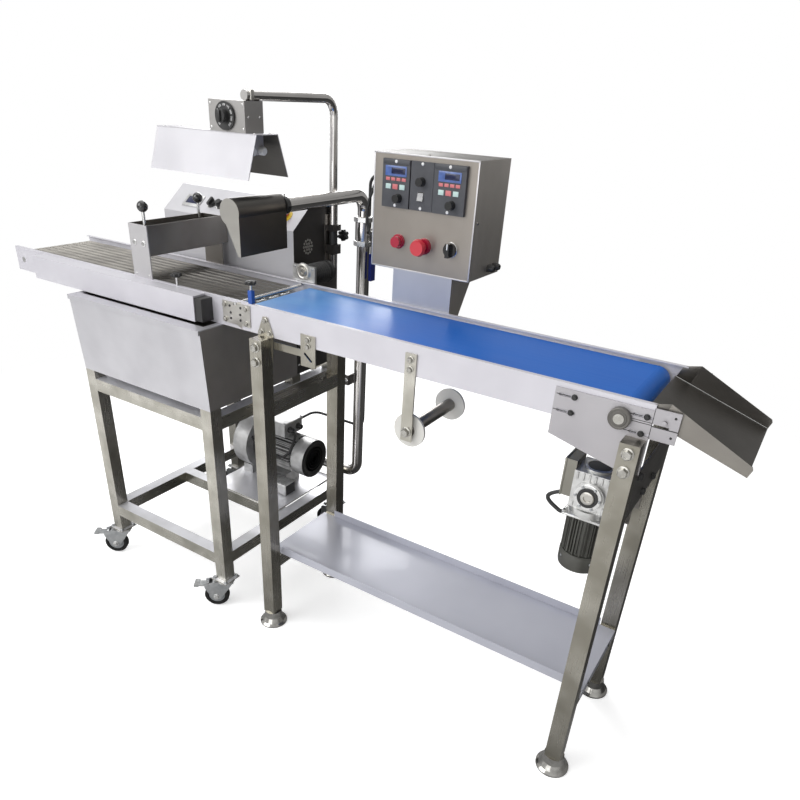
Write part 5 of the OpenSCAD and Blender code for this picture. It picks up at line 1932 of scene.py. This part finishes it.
    def _module_screws(self) -> None:
        """Screw the modules to the box at the middle of their lower and upper edges."""
        inset = 5 * MM
        spots = []
        for module in self.modules:
            seat = module[2]
            spots.append((self._corner(module, min(seat, self.module_out)) + UP * inset, FRONT))
            spots.append((self._corner(module, seat) + UP * (self.module_tall - inset), FRONT))
        screws = self.bench.stamp("module_screws", self.bench.screw(3.6 * MM), spots)
        self.mount(screws, WHITE_MARK, "charcoal_plastic")

    def _buttons(self) -> None:
        """Add the rings of the lamp, stop button and selector, and the selector's pale mark."""
        for name, x, z, rings, finish, slot in (
            ("lamp_rim", 220, 1100, ((17, -0.2), (17, 3), (15.6, 4.4), (15.2, 3)), DEEP_RED, "red_plastic"),
            ("stop_collar", 292, 1098, ((19, -0.2), (19, 6), (17, 10), (11.6, 10)), DEEP_RED, "red_plastic"),
            ("selector_ring", 364, 1100, ((17.6, -0.2), (17.6, 2.4), (16.6, 3.4), (16.3, 2)), BRIGHT,
             "black_plastic"),
        ):
            self.mount(self.turned(name, rings, 40, self.spot(x, self.front, z, FRONT)), finish, slot)
        mark = self.block("selector_mark", self.selector_mark, 0.2 * MM, 1)
        self.mount(mark, WHITE_MARK, "black_plastic", "box_selector")

    def _case(self) -> None:
        """Add the case's front edges with their painted highlight, screws, glands and the bow of cable on its
        left.
        """
        # The edge strips take a lighter satin than the box's front: painted highlight along the front's
        # edges.
        edges = [self.block("edge", box, 0.5 * MM) for box in self.edges]
        self.mount(self.bench.join("case_edge_highlights", edges), SATIN_Z, "box_grey")
        spots = [self.spot(280, 150, 1292, UP), self.spot(418, 150, 1163, RIGHT)]
        spots += [self.spot(142, 150, 1163, LEFT), *self.grid((280,), (293,), (1268, 1058), REAR)]
        self.screws("case_screws", 3.6 * MM, spots, DARK_Z)
        spots = self.grid((418,), (232, 262), (1052,), RIGHT) + [self.spot(182, 293, 1204, REAR)]
        glands = self.bench.stamp("case_glands", self.bench.gland(10 * MM), spots)
        self.mount(glands, BLACK, "black_plastic")
        path = [self.datum.at(*place) for place in self.cable]
        self.mount(self.bench.rod("case_cable", path, 4 * MM, sides=4), CABLE, "cable_black")


@dataclass
class Studio:
    """Floor, soft light and the camera at the photograph's angle.

    Attributes:
        datum: Origin of the drawn sizes.
        eye: Place of the camera in drawn millimetres.
        turn: Turn of the camera about X, Y and Z in degrees.
        focal: Focal length in photograph pixels.
        middle: Principal point in photograph pixels.
        picture: Width of the photograph in pixels.
        sensor: Sensor width in millimetres.
        lamps: Name, place, aim, side in metres and watts of each soft lamp.
        glow: Strength of the world's light.
        dim: Colour of the world's darkest part.
        mirrored: Share of the white backdrop that metal shows.
        floor_side: Side of the floor.
        floor_drop: From the feet down to the floor.
        paper: Most that the floor's colour gives back.
        lift: Light that the floor adds where the camera sees it.
        white_run: From the part's middle to where the floor starts to turn white and where it is white.
    """

    datum: Datum
    eye: Place = (1136.68, -1342.27, 1408.73)
    turn: Place = (59.902, -2.649, 33.25)
    focal: float = 681.684
    middle: Pair = (387.264, 488.798)
    picture: float = 800.0
    sensor: float = 36.0
    lamps: tuple[tuple[str, Place, Place, float, float], ...] = (
        ("key_light", (-1.9, -2.9, 3.0), (0.0, 0.0, 0.7), 2.6, 90.0),
        ("fill_light", (0.3, -3.4, 1.4), (0.2, 0.0, 0.7), 2.2, 27.0),
        ("top_light", (-0.5, 0.4, 3.6), (0.0, 0.0, 0.8), 3.0, 40.0),
        ("window_light", (-1.9, 2.3, 1.8), (-0.1, 0.0, 0.9), 1.5, 38.0),
    )
    glow: float = 0.62
    dim: Colour = (0.1, 0.094, 0.088)
    mirrored: float = 0.25
    floor_side: float = 24.0
    floor_drop: float = 0.5 * MM
    paper: float = 0.9
    lift: float = 0.45
    white_run: Pair = (1.3, 2.6)

    def build(self) -> None:
        """Set the camera, the world, the lamps and the floor."""
        bpy.context.scene.view_settings.view_transform = "Standard"
        self._camera()
        self._world()
        self._lamps()
        self._floor()

    def _camera(self) -> None:
        """Place the camera as solved from the photograph."""
        lens = bpy.data.cameras.new("photo_camera")
        lens.sensor_width = self.sensor
        lens.lens = self.focal / self.picture * self.sensor
        half = self.picture / 2
        lens.shift_x = (half - self.middle[0]) / self.picture
        lens.shift_y = (self.middle[1] - half) / self.picture
        camera = bpy.data.objects.new("photo_camera", lens)
        camera.location = self.datum.at(*self.eye)
        camera.rotation_euler = tuple(math.radians(a) for a in self.turn)
        bpy.context.scene.collection.objects.link(camera)
        bpy.context.scene.camera = camera

    def _world(self) -> None:
        """Make a white backdrop whose light comes from the left and the front, as beside windows."""
        world = bpy.data.worlds.new("studio_world")
        world.use_nodes = True
        bpy.context.scene.world = world
        wire = Wiring(world.node_tree)
        light = world.node_tree.nodes["Background"]
        way = wire.split(wire.add("ShaderNodeTexCoord").outputs["Generated"]).outputs
        side = wire.fade(way["X"], (-0.9, 1.0), (-0.1, 0.1))
        front = wire.fade(way["Y"], (-0.7, 0.9), (0.1, 0.0))
        above = wire.fade(way["Z"], (0.5, 0.0), (0.95, 0.9))
        both = wire.math("MINIMUM", wire.math("ADD", wire.math("ADD", side, front), above), 1.0)
        wire.join(wire.mix(both, self.dim, WHITE_TINT), light.inputs["Color"])
        light.inputs["Strength"].default_value = self.glow
        backdrop = wire.add("ShaderNodeBackground")
        wire.feed(WHITE_TINT, backdrop.inputs["Color"])
        ray = wire.add("ShaderNodeLightPath").outputs
        clear = wire.math("MAXIMUM", ray["Is Camera Ray"], ray["Is Transmission Ray"])
        mirrored = wire.math("MULTIPLY", ray["Is Glossy Ray"], self.mirrored)
        mix = wire.add("ShaderNodeMixShader")
        wire.join(wire.math("MAXIMUM", clear, mirrored), mix.inputs["Fac"])
        wire.join(light.outputs["Background"], mix.inputs[1])
        wire.join(backdrop.outputs["Background"], mix.inputs[2])
        wire.join(mix.outputs["Shader"], world.node_tree.nodes["World Output"].inputs["Surface"])

    def _lamps(self) -> None:
        """Hang the soft lamps."""
        for name, place, aim, side, power in self.lamps:
            light = bpy.data.lights.new(name, "AREA")
            light.size = side
            light.energy = power
            lamp = bpy.data.objects.new(name, light)
            lamp.location = place
            lamp.rotation_euler = (Vector(aim) - Vector(place)).to_track_quat("-Z", "Y").to_euler()
            lamp.visible_camera = False
            bpy.context.scene.collection.objects.link(lamp)

    def _floor(self) -> None:
        """Lay a plain pale floor that looks white, keeps a soft shadow and mirrors darker to the rear."""
        Bench.clear()
        bpy.ops.mesh.primitive_plane_add(size=self.floor_side, location=(0.0, 0.0, -self.floor_drop))
        floor = bpy.context.object
        floor.name = "floor"
        bpy.ops.object.transform_apply(location=True, rotation=True, scale=True)
        made = bpy.data.materials.new("floor_paper")
        made.use_nodes = True
        wire = Wiring(made.node_tree)
        shader = made.node_tree.nodes["Principled BSDF"]
        shader.inputs["Roughness"].default_value = 0.9
        shader.inputs["Specular IOR Level"].default_value = 0.05
        place = wire.add("ShaderNodeTexCoord").outputs["Object"]
        seen = wire.add("ShaderNodeLightPath").outputs["Is Camera Ray"]
        mirrored = wire.fade(wire.split(place).outputs["Y"], (-0.7, 0.85), (0.1, 0.07))
        paper = wire.math("ADD", mirrored, wire.math("MULTIPLY", seen, self.paper))
        paper = wire.math("MINIMUM", paper, self.paper)
        wire.join(wire.mix(paper, BLACK_TINT, WHITE_TINT), shader.inputs["Base Color"])
        wire.feed(WHITE_TINT, shader.inputs["Emission Color"])
        wire.join(wire.math("MULTIPLY", seen, self.lift), shader.inputs["Emission Strength"])
        far = wire.add("ShaderNodeVectorMath", operation="LENGTH")
        wire.join(place, far.inputs[0])
        start, end = self.white_run
        away = wire.fade(far.outputs["Value"], (start, 0.0), (end, 1.0))
        mix = wire.add("ShaderNodeMixShader")
        wire.join(wire.math("MULTIPLY", away, seen), mix.inputs["Fac"])
        wire.join(shader.outputs["BSDF"], mix.inputs[1])
        wire.join(wire.add("ShaderNodeEmission").outputs["Emission"], mix.inputs[2])
        wire.join(mix.outputs["Shader"], made.node_tree.nodes["Material Output"].inputs["Surface"])
        floor.data.materials.append(made)


def main() -> None:
    """Build the scene in order and keep the sizes."""
    logging.basicConfig(level=logging.INFO, format="%(name)s: %(message)s")
    FRAME.update(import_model())
    datum = Datum(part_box("conveyor_legs")[0])
    Studio(datum).build()
    bench = Bench(SharedEffects())
    nodes = FRAME["nodes"]
    for kind in (
        Cart, Tank, Cabinet, MeshConveyor, Curtain, AirSupply, Heater, Conveyor, Drive, Discharge, Controls
    ):
        kind(bench, nodes, datum).build()
        LOG.info("built %s", kind.__name__)


if __name__ == "__main__":
    main()
